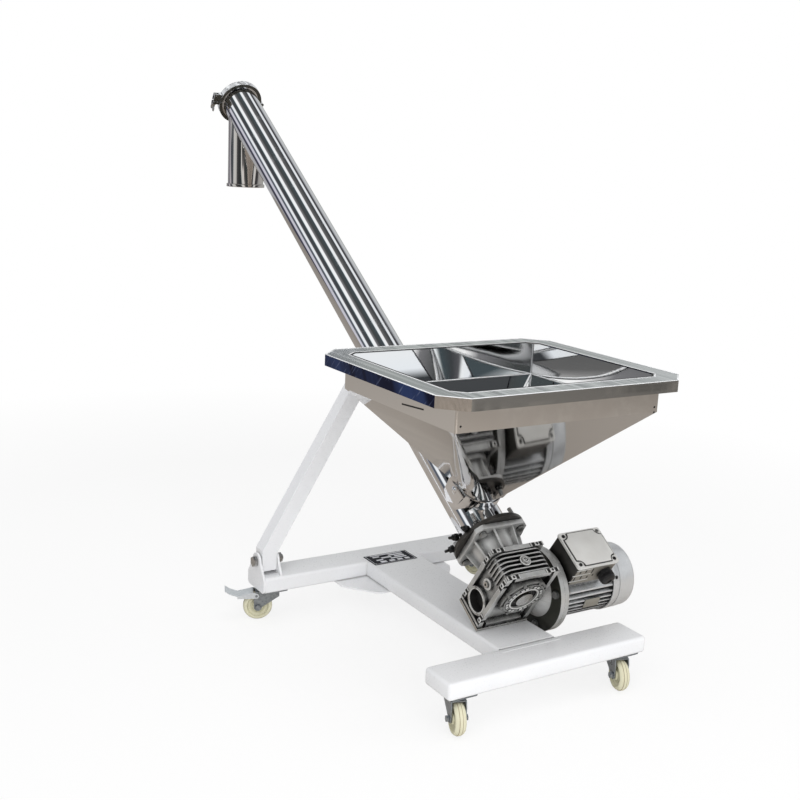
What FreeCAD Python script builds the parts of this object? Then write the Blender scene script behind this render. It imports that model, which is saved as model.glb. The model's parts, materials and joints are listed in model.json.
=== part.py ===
import FreeCAD, Part
import math
import os

V = FreeCAD.Vector
os.makedirs("parts", exist_ok=True)

# Mobile screw feeder. Millimetres, +Z up, +X from the drive toward the discharge, +Y to the left.
# The base is drawn in the floor frame: floor at z = 0, x = 0 under the leg pivots.
# The tube with all it carries is drawn in its own frame: x along the tube, z square to it and up.

incline = 34.0
slope = math.tan(math.radians(incline))
play = 0.3
running_play = 0.05

# Base frame of closed rectangular sections.
bar_width = 96.0
bar_height = 40.0
bar_wall = 3.0
bar_edge = 7.0
bar_underside = 88.0
bar_top = bar_underside + bar_height
front_bar_length = 545.0
rear_bar_length = 755.0
bar_spacing = 679.0
spine_width = 160.0
gusset_thick = 5.0
gusset_reach = 169.0
gusset_length = 158.0
name_plate = (66.0, 130.0, 1.2)
name_plate_centre = (-46.0, 7.0)

# Swivel castors.
wheel_radius = 37.0
wheel_width = 26.0
axle_radius = 4.0
castor_trail = 30.0
castor_plate = (66.0, 88.0, 2.5)
pedal_pin = (34.0, 68.0, 3.0)
race_radius = 23.0
race_height = 7.0
fork_wall = 2.5
fork_gap = wheel_width + 4.0
front_castor_y = 226.0
rear_castor_y = 338.0
front_swivels = (162.0, 162.0)
rear_swivels = (68.0, 20.0)

# Legs and their pivots.
leg_side = 40.0
leg_wall = 3.0
leg_y = 349.0
leg_lean = 30.5
pivot_z = 161.0
pivot_radius = 8.0
leg_foot_z = 138.0
leg_bend_z = 187.0
leg_top_z = 682.0
ear_thick = 6.0
ear_radius = 22.0
ear_foot = 84.0

# Conveyor tube and auger.
tube_radius = 57.0
tube_wall = 3.0
tube_inner = tube_radius - tube_wall
axis_z_at_pivot = 634.0
pivot_s = 380.0 / math.cos(math.radians(incline))
tube_end = 1690.0
ferrule_radius = 66.0
ferrule_thick = 6.0
auger_radius = 51.0
auger_pitch = 100.0
flight_thick = 3.0
flight_start = -76.0
flight_end = 1612.0
core_radius = 19.0
journal_radius = 12.5

# Worm reducer: output axis on the tube axis, worm axis across it.
gear_s = -222.0
case_width = 85.0
case_length = 144.0
case_top = 72.0
case_bottom = -112.0
centre_distance = 63.0
rim_wide = 11.0
pocket_depth = 13.0
chamber_radius = 57.0
worm_chamber = 34.0
worm_seat_radius = 26.0
wheel_seat_radius = 34.0
bearing_width = 13.0
side_bore_radius = 27.0
side_bore_depth = 20.0
fin_count = 6
fin_thick = 3.2
output_face = gear_s + 112.0
flange_square = 142.0
flange_radius = 90.0
flange_thick = 12.0
flange_bolt_circle = 150.0
rib_count = 8
worm_starts = 2
wheel_teeth = 30
hub_radius = 19.0

# Motor on the right side of the reducer, along the worm axis.
motor_disc_radius = 100.0
adapter_face = -105.0
motor_disc_thick = 12.0
frame_start = -132.0
frame_end = -284.0
frame_radius = 62.0
fin_tip_radius = 75.0
cover_end = -343.0
cover_radius = 77.0
motor_shaft_radius = 9.5
box_s = (-172.0 - 98.0, -172.0)
box_y = (-243.0, -125.0)
box_top = 68.0
lid_thick = 6.0

# Hinged clamp on the discharge end.
clamp_half_width = 10.0
clamp_band = 5.0
clamp_gap = 2.0
ear_block = 8.0
swing_eye_z = 20.0

# Hopper.
rim_z = 732.0
rim_centre_x = -465.0
rim_length = 560.0
rim_width = 650.0
rim_chamfer = 52.0
rim_inset = 52.0
lip_depth = 26.0
skirt_depth = 82.0
sheet = 2.0
outlet_s = 10.0
outlet_radius = 60.0
outlet_n = 69.0
saddle_wall = 3.0
saddle_foot = 13.0
cheek_thick = 4.0

# Discharge spout.
spout_x = 963.0
spout_bottom = 1055.0
spout_wall = 2.0
spout_lip = 4.0
spout_lip_height = 10.0

parts = {}


def box(x0, x1, y0, y1, z0, z1):
    return Part.makeBox(x1 - x0, y1 - y0, z1 - z0, V(x0, y0, z0))


def rod(radius, start, end):
    along = end.sub(start)
    return Part.makeCylinder(radius, along.Length, start, along)


def ring(outer, inner, start, end):
    return rod(outer, start, end).cut(rod(inner, start, end))


def cone(radius_a, radius_b, start, end):
    along = end.sub(start)
    return Part.makeCone(radius_a, radius_b, along.Length, start, along)


def join(shapes):
    shapes = list(shapes)
    return shapes[0].multiFuse(shapes[1:]).removeSplitter()


def plate(points, thick, direction):
    face = Part.Face(Part.makePolygon(points + [points[0]]))
    return face.extrude(direction.multiply(thick))


def hexagon(across_flats, start, direction, height):
    corner = across_flats / math.sqrt(3)
    side = V(0, 0, 1) if abs(direction.z) < 0.9 else V(1, 0, 0)
    side = side.sub(direction * side.dot(direction)).normalize()
    turn = FreeCAD.Rotation(direction, 60)
    points = []
    for _ in range(6):
        points.append(start.add(side * corner))
        side = turn.multVec(side)
    return plate(points, height, V(direction))


def mirrored(shape):
    return shape.mirror(V(0, 0, 0), V(0, 1, 0))


def rounded_wire(length, width, corner, place):
    """Closed outline of four sides and four corner arcs, centred on the given placement."""
    a, b = length / 2, width / 2
    k = corner * (1 - math.sqrt(0.5))
    c = corner
    edges = [
        Part.makeLine(V(-a + c, -b, 0), V(a - c, -b, 0)),
        Part.Arc(V(a - c, -b, 0), V(a - k, -b + k, 0), V(a, -b + c, 0)).toShape(),
        Part.makeLine(V(a, -b + c, 0), V(a, b - c, 0)),
        Part.Arc(V(a, b - c, 0), V(a - k, b - k, 0), V(a - c, b, 0)).toShape(),
        Part.makeLine(V(a - c, b, 0), V(-a + c, b, 0)),
        Part.Arc(V(-a + c, b, 0), V(-a + k, b - k, 0), V(-a, b - c, 0)).toShape(),
        Part.makeLine(V(-a, b - c, 0), V(-a, -b + c, 0)),
        Part.Arc(V(-a, -b + c, 0), V(-a + k, -b + k, 0), V(-a + c, -b, 0)).toShape(),
    ]
    wire = Part.Wire(edges)
    wire.Placement = place
    return wire


tube_frame = FreeCAD.Placement(V(0, 0, axis_z_at_pivot), FreeCAD.Rotation(V(0, 1, 0), -incline),
                               V(0, 0, 0)).multiply(FreeCAD.Placement(V(-pivot_s, 0, 0), FreeCAD.Rotation()))


def add(name, *solids):
    """Keeps the solids of one piece, already in the floor frame."""
    parts.setdefault(name, []).extend(solids)


def add_on_tube(name, *solids):
    """Keeps the solids of one piece drawn in the tube frame."""
    for solid in solids:
        moved = solid.copy()
        moved.Placement = tube_frame.multiply(moved.Placement)
        add(name, moved)


# Base


def closed_bar(x0, x1, y0, y1, round_ends):
    outer = box(x0, x1, y0, y1, bar_underside, bar_top)
    edges = [e for e in outer.Edges if round_ends or e.BoundBox.YLength > bar_width]
    outer = outer.makeFillet(bar_edge, edges)
    w = bar_wall
    return outer.cut(box(x0 + w, x1 - w, y0 + w, y1 - w, bar_underside + w, bar_top - w))


def build_base():
    half = bar_width / 2
    front_x = -bar_spacing
    add("front_crossbar", closed_bar(front_x - half, front_x + half,
                                     -front_bar_length / 2, front_bar_length / 2, True))
    rear_end = rear_bar_length / 2 - ear_thick
    add("rear_crossbar", closed_bar(-half, half, -rear_end, rear_end, False))
    spine = box(front_x + half, -half, -spine_width / 2, spine_width / 2, bar_underside, bar_top)
    long_edges = [e for e in spine.Edges if e.BoundBox.XLength > bar_spacing / 2]
    spine = spine.makeFillet(bar_edge, long_edges)
    w = bar_wall
    hollow = box(front_x + half, -half, -spine_width / 2 + w, spine_width / 2 - w,
                 bar_underside + w, bar_top - w)
    add("spine_beam", spine.cut(hollow))
    build_gussets()
    build_ears()
    long, wide, thick = name_plate
    x, y = name_plate_centre
    add("name_plate", box(x - long / 2, x + long / 2, y - wide / 2, y + wide / 2, bar_top, bar_top + thick))


def build_gussets():
    y0 = spine_width / 2 - 20
    under = bar_underside
    reach, long = gusset_reach, gusset_length
    outline = [V(-20, y0, under), V(-20, reach, under), V(-long / 2 + 7, reach, under),
               V(-long / 2 - 13, reach - 11, under), V(8 - long, spine_width / 2 + 32, under),
               V(-long, spine_width / 2 + 16, under), V(-long, y0, under)]
    gusset = plate(outline, gusset_thick, V(0, 0, -1))
    add("spine_gussets", gusset, mirrored(gusset))


def inner_ear(y0):
    """Lug standing on the bar inside the leg."""
    foot = [V(-ear_foot / 2, y0, bar_top), V(ear_foot / 2, y0, bar_top),
            V(ear_radius, y0, pivot_z), V(-ear_radius, y0, pivot_z)]
    return ear_eye(plate(foot, ear_thick, V(0, 1, 0)), y0)


def end_ear(y0):
    """Plate that closes the bar's end and rises over it to the pivot."""
    half, low, c = bar_width / 2, bar_underside, bar_edge
    outline = [V(-half, y0, low + c), V(c * 0.4 - half, y0, low + c * 0.4), V(c - half, y0, low),
               V(half - c, y0, low), V(half - c * 0.4, y0, low + c * 0.4), V(half, y0, low + c),
               V(half, y0, bar_top - 6), V(ear_radius, y0, pivot_z), V(-ear_radius, y0, pivot_z),
               V(-half, y0, bar_top - 6)]
    return ear_eye(plate(outline, ear_thick, V(0, 1, 0)), y0)


def ear_eye(blank, y0):
    blank = blank.fuse(rod(ear_radius, V(0, y0, pivot_z), V(0, y0 + ear_thick, pivot_z)))
    hole = rod(pivot_radius + running_play, V(0, y0 - 1, pivot_z), V(0, y0 + ear_thick + 1, pivot_z))
    return blank.removeSplitter().cut(hole)


def build_ears():
    outer_face = rear_bar_length / 2
    inner_face = leg_y - leg_side / 2 - 1 - ear_thick
    for lug in (end_ear(outer_face - ear_thick), inner_ear(inner_face)):
        add("clevis_ears", lug, mirrored(lug))
    shank = rod(pivot_radius, V(0, inner_face - 17, pivot_z), V(0, outer_face, pivot_z))
    head = hexagon(24, V(0, outer_face, pivot_z), V(0, 1, 0), 10)
    nut = hexagon(24, V(0, inner_face, pivot_z), V(0, -1, 0), 13).cut(shank)
    bolt = shank.fuse(head).removeSplitter()
    add("pivot_bolts", bolt, nut, mirrored(bolt), mirrored(nut))


def foot_plate():
    """Mounting plate under the reducer; its lower edge stands on the spine."""
    s0, s1 = gear_s - case_width / 2 - 4, gear_s + case_width / 2
    corner = tube_frame.multVec(V(s0, 0, case_bottom))
    cos = math.cos(math.radians(incline))
    low = case_bottom - (corner.z - bar_top - play) / cos
    return box(s0, s1, -case_length / 2, case_length / 2, low, case_bottom)


# Castors


def pedal_pins(reach):
    """Stub pins on the outer faces of the fork, in the castor's own frame."""
    outer = fork_gap / 2 + fork_wall
    u, z, r = pedal_pin
    return [rod(r, V(u, side * outer, z), V(u, side * (outer + reach), z)) for side in (-1, 1)]


def castor_fork(braked):
    crown_z = bar_underside - castor_plate[2] - race_height
    inner = fork_gap / 2
    outer = inner + fork_wall
    tip = axle_radius + 6
    back, front = 24.0, castor_trail + 7
    profile = [V(-back, 0, crown_z), V(front, 0, crown_z), V(front + 4, 0, crown_z - 14),
               V(castor_trail + tip, 0, wheel_radius), V(castor_trail - tip, 0, wheel_radius),
               V(-back, 0, crown_z - 12)]
    arm = plate([V(p.x, inner, p.z) for p in profile], fork_wall, V(0, 1, 0))
    arm = arm.fuse(rod(tip, V(castor_trail, inner, wheel_radius), V(castor_trail, outer, wheel_radius)))
    crown = box(-back, front, -outer, outer, crown_z - fork_wall, crown_z)
    collar = ring(race_radius - 4, 6, V(0, 0, crown_z), V(0, 0, bar_underside - castor_plate[2] - play))
    fork = join([arm, mirrored(arm), crown, collar] + (pedal_pins(3.5) if braked else []))
    return fork.cut(rod(axle_radius, V(castor_trail, -outer, wheel_radius), V(castor_trail, outer, wheel_radius)))


def castor_wheel():
    """Crowned nylon tread, deep web on both sides, bored hub."""
    half = wheel_width / 2
    bore = axle_radius + running_play
    outline = [V(bore, 0, -half), V(12, 0, -half), V(14, 0, -half + 7), V(25, 0, -half + 7),
               V(28, 0, -half + 1), V(wheel_radius - 6, 0, -half + 1)]
    mirror_side = [V(p.x, 0, -p.z) for p in reversed(outline)]
    lines = Part.makePolygon(outline)
    lines_back = Part.makePolygon(mirror_side)
    tread = Part.Arc(outline[-1], V(wheel_radius, 0, 0), mirror_side[0]).toShape()
    bore_line = Part.makeLine(mirror_side[-1], outline[0])
    face = Part.Face(Part.Wire(lines.Edges + [tread] + lines_back.Edges + [bore_line]))
    wheel = face.revolve(V(0, 0, 0), V(0, 0, 1), 360)
    wheel.rotate(V(0, 0, 0), V(1, 0, 0), 90)
    wheel.translate(V(castor_trail, 0, wheel_radius))
    return wheel


def castor_axle():
    outer = fork_gap / 2 + fork_wall
    start, end = V(castor_trail, -outer, wheel_radius), V(castor_trail, outer, wheel_radius)
    head = hexagon(13, end, V(0, 1, 0), 5.5)
    nut = hexagon(13, start, V(0, -1, 0), 7)
    return join([rod(axle_radius, start, end), head, nut])


def brake_pedal():
    """Flanged pressing over the wheel with a turned-up tread, hung on the fork's stub pins."""
    z = bar_underside - castor_plate[2] - race_height - 1
    thick = 2.0
    inner = fork_gap / 2 + fork_wall + 0.5
    wide = inner + thick
    root, knee, lip = castor_trail + 12, castor_trail + 52, castor_trail + 84
    top = [V(root, 0, z), V(knee, 0, z - 9), V(lip - 12, 0, z - 2), V(lip, 0, z + 6)]
    below = [V(p.x, 0, p.z - thick) for p in reversed(top)]
    tread = plate([V(p.x, -wide, p.z) for p in top + below], 2 * wide, V(0, 1, 0))
    u, pin_z, pin_r = pedal_pin
    side = [V(root, -wide, z), V(knee, -wide, z - 9), V(knee, -wide, z - 16), V(root, -wide, pin_z - 7),
            V(u - 4, -wide, pin_z - 6), V(u - 7, -wide, pin_z), V(u - 4, -wide, pin_z + 6)]
    flange = plate(side, thick, V(0, 1, 0))
    hole = rod(pin_r + running_play, V(u, -wide - 1, pin_z), V(u, wide + 1, pin_z))
    return join([tread, flange, mirrored(flange)]).cut(hole)


def castor_plate_solid():
    length, width, thick = castor_plate
    z0 = bar_underside - thick
    blank = box(-width / 2, width / 2, -length / 2, length / 2, z0, bar_underside)
    upright = [e for e in blank.Edges if e.BoundBox.ZLength > thick / 2]
    blank = blank.makeFillet(8, upright)
    pin = rod(6 - running_play, V(0, 0, z0 - race_height), V(0, 0, z0))
    cup = ring(race_radius, race_radius - 3.5, V(0, 0, z0 - race_height + play), V(0, 0, z0))
    return join([blank, pin, cup])


def build_castors():
    spots = {"front_left": (-bar_spacing, front_castor_y, front_swivels[0]),
             "front_right": (-bar_spacing, -front_castor_y, front_swivels[1]),
             "rear_left": (0, rear_castor_y, rear_swivels[0]),
             "rear_right": (0, -rear_castor_y, rear_swivels[1])}
    for corner, (x, y, turn) in spots.items():
        fixed = castor_plate_solid()
        fixed.translate(V(x, y, 0))
        add("castor_plates", fixed)
        braked = corner.startswith("rear")
        pieces = {"castor_fork_": castor_fork(braked), "castor_wheel_": castor_wheel(),
                  "castor_axle_": castor_axle()}
        if braked:
            pieces["brake_pedal_"] = brake_pedal()
        for name, solid in pieces.items():
            solid.rotate(V(0, 0, 0), V(0, 0, 1), turn)
            solid.translate(V(x, y, 0))
            add(name + corner, solid)


# Legs


def leg_outline(inset, foot_z, end_y):
    """Side view of a leg, upright foot and leaning upper part, drawn at x = 0."""
    half = leg_side / 2 - inset
    lean = math.radians(leg_lean)
    bend = half * math.tan(lean / 2)
    rise = 1 / math.tan(lean)

    def height(side):
        edge_y = leg_y + side * half
        edge_z = leg_bend_z + side * bend
        return edge_z + (edge_y - end_y) * rise

    return [V(0, leg_y - half, foot_z), V(0, leg_y + half, foot_z), V(0, leg_y + half, leg_bend_z + bend),
            V(0, end_y, height(1)), V(0, end_y, height(-1)), V(0, leg_y - half, leg_bend_z - bend)]


def leg():
    half = leg_side / 2
    saddle_side = tube_radius + 13
    outer = plate([V(-half, p.y, p.z) for p in leg_outline(0, leg_foot_z, saddle_side)],
                  leg_side, V(1, 0, 0))
    inner_points = leg_outline(leg_wall, leg_foot_z - 1, saddle_side - 1)
    inner = plate([V(-half + leg_wall, p.y, p.z) for p in inner_points],
                  leg_side - 2 * leg_wall, V(1, 0, 0))
    start, end = V(0, leg_y - half, pivot_z), V(0, leg_y + half, pivot_z)
    tube = outer.cut(inner).fuse(rod(pivot_radius + 5, start, end)).removeSplitter()
    above = box(-half - 1, half + 1, saddle_side - 20, leg_y, leg_top_z, leg_top_z + 200)
    return tube.cut(rod(pivot_radius + running_play, start, end)).cut(above)


def build_legs():
    add("left_leg", leg())
    add("right_leg", mirrored(leg()))
    s0, s1 = pivot_s - 42, pivot_s + 42
    r = tube_radius + play
    strap = ring(r + 5, r, V(s0, 0, 0), V(s1, 0, 0))
    strap = strap.cut(box(s0 - 1, s1 + 1, -r - 10, r + 10, 12, r + 10))
    strap.Placement = tube_frame.multiply(strap.Placement)
    cheek = box(-34, 34, tube_radius + 4, tube_radius + 13, leg_top_z - 90, leg_top_z + 3)
    add("leg_saddle", join([strap, cheek, mirrored(cheek)]).cut(tube_bore()))


def tube_bore():
    core = rod(tube_radius + play, V(-200, 0, 0), V(tube_end + 100, 0, 0))
    core.Placement = tube_frame.multiply(core.Placement)
    return core


# Tube and auger


def build_tube():
    start = output_face
    tube = ring(tube_radius, tube_inner, V(start, 0, 0), V(tube_end, 0, 0))
    ferrule = ring(ferrule_radius, tube_inner, V(tube_end - ferrule_thick, 0, 0), V(tube_end, 0, 0))
    tube = tube.fuse(ferrule).removeSplitter()
    half = outlet_radius - 6
    tube = tube.cut(box(outlet_s - half, outlet_s + half, -half + 6, half - 6, 10, tube_radius + 5))
    tube.Placement = tube_frame.multiply(tube.Placement)
    top_z = axis_z_at_pivot + spout_x * slope
    drop = rod(tube_radius - spout_wall - 2, V(spout_x, 0, spout_bottom), V(spout_x, 0, top_z))
    add("conveyor_tube", tube.cut(drop))
    flange = ring(flange_radius, tube_radius + play / 2, V(start, 0, 0), V(start + 10, 0, 0))
    bolts, holes = flange_bolts()
    add_on_tube("tube_base_flange", flange.cut(holes))
    add_on_tube("flange_bolts", *bolts)
    seal = ring(tube_inner - play, journal_radius + running_play, V(start, 0, 0), V(start + 16, 0, 0))
    add_on_tube("shaft_seal", seal)


def flange_bolts():
    bolts, holes = [], []
    r = flange_bolt_circle / 2
    for k in range(4):
        a = math.radians(45 + 90 * k)
        y, z = r * math.cos(a), r * math.sin(a)
        start, end = V(output_face - flange_thick, y, z), V(output_face + 44, y, z)
        shank = rod(5, start, end)
        head = hexagon(16, start, V(-1, 0, 0), 7)
        nut = hexagon(16, V(output_face + 10, y, z), V(1, 0, 0), 9).cut(shank)
        bolts += [shank.fuse(head).removeSplitter(), nut]
        holes.append(rod(5 + play, start, end))
    return bolts, Part.makeCompound(holes)


def auger_flight():
    """One rectangular section swept along a helix, then trimmed square at both ends."""
    length = flight_end - flight_start
    helix = Part.makeHelix(auger_pitch, length, core_radius)
    inner, outer = core_radius - 1, auger_radius
    half = flight_thick / 2
    section = Part.makePolygon([V(inner, 0, -half), V(outer, 0, -half), V(outer, 0, half),
                                V(inner, 0, half), V(inner, 0, -half)])
    sweep = Part.Wire(helix).makePipeShell([section], True, True)
    sweep.rotate(V(0, 0, 0), V(0, 1, 0), 90)
    sweep.translate(V(flight_start, 0, 0))
    return sweep.cut(rod(core_radius, V(flight_start - 10, 0, 0), V(flight_end + 10, 0, 0)))


def build_auger():
    top_bush = tube_end - 16
    start = output_face + 28
    core = rod(core_radius, V(start, 0, 0), V(top_bush - 2, 0, 0))
    journal = rod(journal_radius, V(top_bush - 2, 0, 0), V(tube_end + 1, 0, 0))
    socket = rod(journal_radius + running_play, V(start, 0, 0), V(start + 45, 0, 0))
    add_on_tube("auger_shaft", core.fuse(journal).removeSplitter().cut(socket))
    add_on_tube("auger_flight", auger_flight())
    front = gear_s - case_width / 2 - 10
    drive = rod(journal_radius, V(front, 0, 0), V(start + 44, 0, 0))
    washer = rod(hub_radius + 2, V(front - 5, 0, 0), V(front, 0, 0))
    add_on_tube("drive_shaft", drive.fuse(washer).removeSplitter())


# Discharge head


def build_head():
    t = tube_end
    end_plate = rod(ferrule_radius, V(t, 0, 0), V(t + ferrule_thick, 0, 0))
    bulge = Part.makeSphere(90, V(t + ferrule_thick + 26 - 90, 0, 0))
    dome = rod(tube_radius, V(t, 0, 0), V(t + 50, 0, 0)).common(bulge)
    bush = rod(22, V(t - 16, 0, 0), V(t + 1, 0, 0))
    bore = rod(journal_radius + running_play, V(t - 17, 0, 0), V(t + 3, 0, 0))
    add_on_tube("end_cap", join([end_plate, dome, bush]).cut(bore))
    for name, side in (("clamp_lower", -1), ("clamp_upper", 1)):
        add_on_tube(name, clamp_half(side))
    bolt, nut, hinge, pivot = clamp_bolt()
    add_on_tube("clamp_bolt", bolt)
    add_on_tube("wing_nut", nut)
    add_on_tube("clamp_pins", hinge, pivot)
    build_spout()


def clamp_half(side):
    """Half of the grooved band around both ferrules; lower half side = -1."""
    s0, s1 = tube_end - clamp_half_width, tube_end + clamp_half_width
    outer = ferrule_radius + clamp_band
    grip = ferrule_thick + play
    groove = ring(ferrule_radius + play, 1, V(tube_end - grip, 0, 0), V(tube_end + grip, 0, 0))
    band = ring(outer, ferrule_radius - 5, V(s0, 0, 0), V(s1, 0, 0)).cut(groove)
    gap = clamp_gap
    keep = box(s0 - 1, s1 + 1, -outer - 30, outer + 30, gap, outer + 5)
    ear_top = gap + ear_block if side < 0 else swing_eye_z + 5
    ear_solid = box(s0 + 3, s1 - 3, outer - 3, swing_y() + 6, gap, ear_top)
    slot = box(tube_end - 4, tube_end + 4, swing_y() - 9, swing_y() + 7, gap - 1, ear_top + 1)
    knuckle_y = -outer - 5
    inner_knuckle = side > 0
    k0, k1 = (s0 + 7, s1 - 7) if inner_knuckle else (s0, s1)
    knuckle = rod(6, V(k0, knuckle_y, 0), V(k1, knuckle_y, 0))
    link = box(k0, k1, knuckle_y, -outer + 4, 0, 6)
    if not inner_knuckle:
        middle = box(s0 + 7 - play, s1 - 7 + play, knuckle_y - 8, -outer + 1, -8, 8)
        knuckle, link = knuckle.cut(middle), link.cut(middle)
    clear = rod(6 + play, V(s0 - 1, knuckle_y, 0), V(s1 + 1, knuckle_y, 0))
    half = join([band.common(keep).cut(clear), ear_solid.cut(slot)])
    if side < 0:
        half = half.mirror(V(0, 0, 0), V(0, 0, 1))
        link = link.mirror(V(0, 0, 0), V(0, 0, 1))
    half = join([half, knuckle, link])
    if side > 0:
        half = half.cut(swing_pin(running_play, 1))
    return half.cut(rod(2.5, V(s0 - 1, knuckle_y, 0), V(s1 + 1, knuckle_y, 0)))


def swing_y():
    return ferrule_radius + clamp_band + 16


def swing_pin(slack, beyond):
    reach = clamp_half_width - 3 + beyond
    return rod(2.5 + slack, V(tube_end - reach, swing_y(), swing_eye_z), V(tube_end + reach, swing_y(), swing_eye_z))


def clamp_bolt():
    """Eye bolt hung in the upper ear, its wing nut under the lower one, and both pins."""
    y = swing_y()
    nut_z = -(clamp_gap + ear_block + 1.3)
    eye = rod(6, V(tube_end - 3.5, y, swing_eye_z), V(tube_end + 3.5, y, swing_eye_z))
    shank = rod(3, V(tube_end, y, swing_eye_z), V(tube_end, y, nut_z - 14))
    hub = cone(8, 6, V(tube_end, y, nut_z), V(tube_end, y, nut_z - 9))
    wing = [V(tube_end - 2, 4, nut_z - 2), V(tube_end - 2, 12, nut_z - 9), V(tube_end - 2, 15, nut_z - 19),
            V(tube_end - 2, 10, nut_z - 21), V(tube_end - 2, 5, nut_z - 9)]
    wings = []
    for side in (-1, 1):
        points = [V(p.x, y + side * p.y, p.z) for p in wing]
        wings.append(plate(points, 4, V(1, 0, 0)))
    nut = join([hub] + wings).cut(rod(3 + running_play, V(tube_end, y, nut_z + 1), V(tube_end, y, nut_z - 30)))
    bolt = eye.fuse(shank).removeSplitter().cut(swing_pin(running_play, 1))
    pin_y = -ferrule_radius - clamp_band - 5
    hinge = rod(2.5, V(tube_end - 12, pin_y, 0), V(tube_end + 12, pin_y, 0))
    return bolt, nut, hinge, swing_pin(0, 1)


def build_spout():
    top_z = axis_z_at_pivot + spout_x * slope
    low, high = V(spout_x, 0, spout_bottom), V(spout_x, 0, top_z)
    pipe = rod(tube_radius, low, high)
    lip = rod(tube_radius + spout_lip, low, V(spout_x, 0, spout_bottom + spout_lip_height))
    rounded = [e for e in lip.Edges if e.BoundBox.ZLength < 0.1]
    lip = lip.makeFillet(1.5, rounded)
    spout = pipe.fuse(lip).cut(rod(tube_radius - spout_wall, low, high)).cut(tube_bore())
    add("discharge_spout", spout)


# Hopper


def octagon(length, width, chamfer, z):
    a, b, c = length / 2, width / 2, chamfer
    corners = [(-a + c, -b), (a - c, -b), (a, -b + c), (a, b - c),
               (a - c, b), (-a + c, b), (-a, b - c), (-a, -b + c)]
    return [V(rim_centre_x + x, y, z) for x, y in corners]


def hopper_rim():
    top = plate(octagon(rim_length, rim_width, rim_chamfer, rim_z - sheet), sheet, V(0, 0, 1))
    inner_length = rim_length - 2 * rim_inset - 2 * sheet
    inner_width = rim_width - 2 * rim_inset - 2 * sheet
    mouth = plate(octagon(inner_length, inner_width, 24, rim_z - 5), 10, V(0, 0, 1))
    lip_z = rim_z - lip_depth
    lip = plate(octagon(rim_length, rim_width, rim_chamfer, lip_z), lip_depth - sheet, V(0, 0, 1))
    shrink = 2 * sheet
    inside = octagon(rim_length - shrink, rim_width - shrink, rim_chamfer - sheet * 0.6, lip_z - 1)
    lip = lip.cut(plate(inside, lip_depth + 2, V(0, 0, 1)))
    return join([top.cut(mouth), lip])


def outlet_place(n):
    return tube_frame.multiply(FreeCAD.Placement(V(outlet_s, 0, n), FreeCAD.Rotation()))


def hopper_body():
    """Upright skirt, walls closing onto the sloping outlet, and the sleeve inside the saddle."""
    length = rim_length - 2 * rim_inset
    width = rim_width - 2 * rim_inset
    skirt_z = rim_z - skirt_depth
    level = FreeCAD.Placement(V(rim_centre_x, 0, skirt_z), FreeCAD.Rotation())
    shells = []
    for inset in (0, sheet):
        top = rounded_wire(length - 2 * inset, width - 2 * inset, 6 - inset, level)
        size = 2 * (outlet_radius - inset)
        low = rounded_wire(size, size, size / 2 - 0.4, outlet_place(outlet_n))
        walls = Part.makeLoft([top, low], True, True)
        skirt = Part.Face(top).extrude(V(0, 0, skirt_depth - sheet))
        along = tube_frame.Rotation.multVec(V(0, 0, -1))
        sleeve = Part.Face(low).extrude(along * 32)
        shells.append((walls, skirt, sleeve))
    outer = join(shells[0])
    for piece in shells[1]:
        outer = outer.cut(piece)
    return outer.cut(tube_bore())


def inlet_saddle():
    """Round collar standing on the tube's slot, with a flat cheek down each side of the tube."""
    inner = outlet_radius + play
    outer = inner + saddle_wall
    top = outlet_n - 1
    start, end = V(outlet_s, 0, saddle_foot), V(outlet_s, 0, top)
    collar = rod(outer, start, end)
    side = outer - 1
    points = [(outlet_s + 28, top), (outlet_s + 24, 26), (outlet_s, saddle_foot - 1), (outlet_s - 34, 40),
              (outlet_s - 40, top)]
    cheek = plate([V(p, side, q) for p, q in points], cheek_thick, V(0, 1, 0))
    saddle = join([collar, cheek, mirrored(cheek)])
    saddle = saddle.cut(rod(inner, V(outlet_s, 0, saddle_foot - 5), V(outlet_s, 0, top + 1)))
    core = rod(tube_radius + play / 2, V(outlet_s - 100, 0, 0), V(outlet_s + 100, 0, 0))
    return saddle.cut(core)


def build_hopper():
    add("hopper_rim", hopper_rim())
    bolt_s, bolt_n = outlet_s - 4, outlet_n - 12
    wall_y = outlet_radius - sheet
    face_y = outlet_radius + play + saddle_wall - 1 + cheek_thick
    shank = rod(5, V(bolt_s, wall_y - 6, bolt_n), V(bolt_s, face_y, bolt_n))
    dome = Part.makeSphere(11, V(bolt_s, face_y - 6, bolt_n))
    head = rod(8.5, V(bolt_s, face_y, bolt_n), V(bolt_s, face_y + 6, bolt_n)).common(dome)
    bolt = shank.fuse(head).removeSplitter()
    hole = rod(5, V(bolt_s, wall_y - 12, bolt_n), V(bolt_s, face_y + 1, bolt_n))
    holes = [hole, mirrored(hole)]
    add_on_tube("saddle_bolts", bolt, mirrored(bolt))
    saddle = inlet_saddle()
    body = hopper_body()
    for cutter in holes:
        saddle = saddle.cut(cutter)
        placed = cutter.copy()
        placed.Placement = tube_frame.multiply(placed.Placement)
        body = body.cut(placed)
    add_on_tube("inlet_saddle", saddle)
    add("hopper_body", body)


# Worm reducer, drawn in the tube frame


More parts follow.
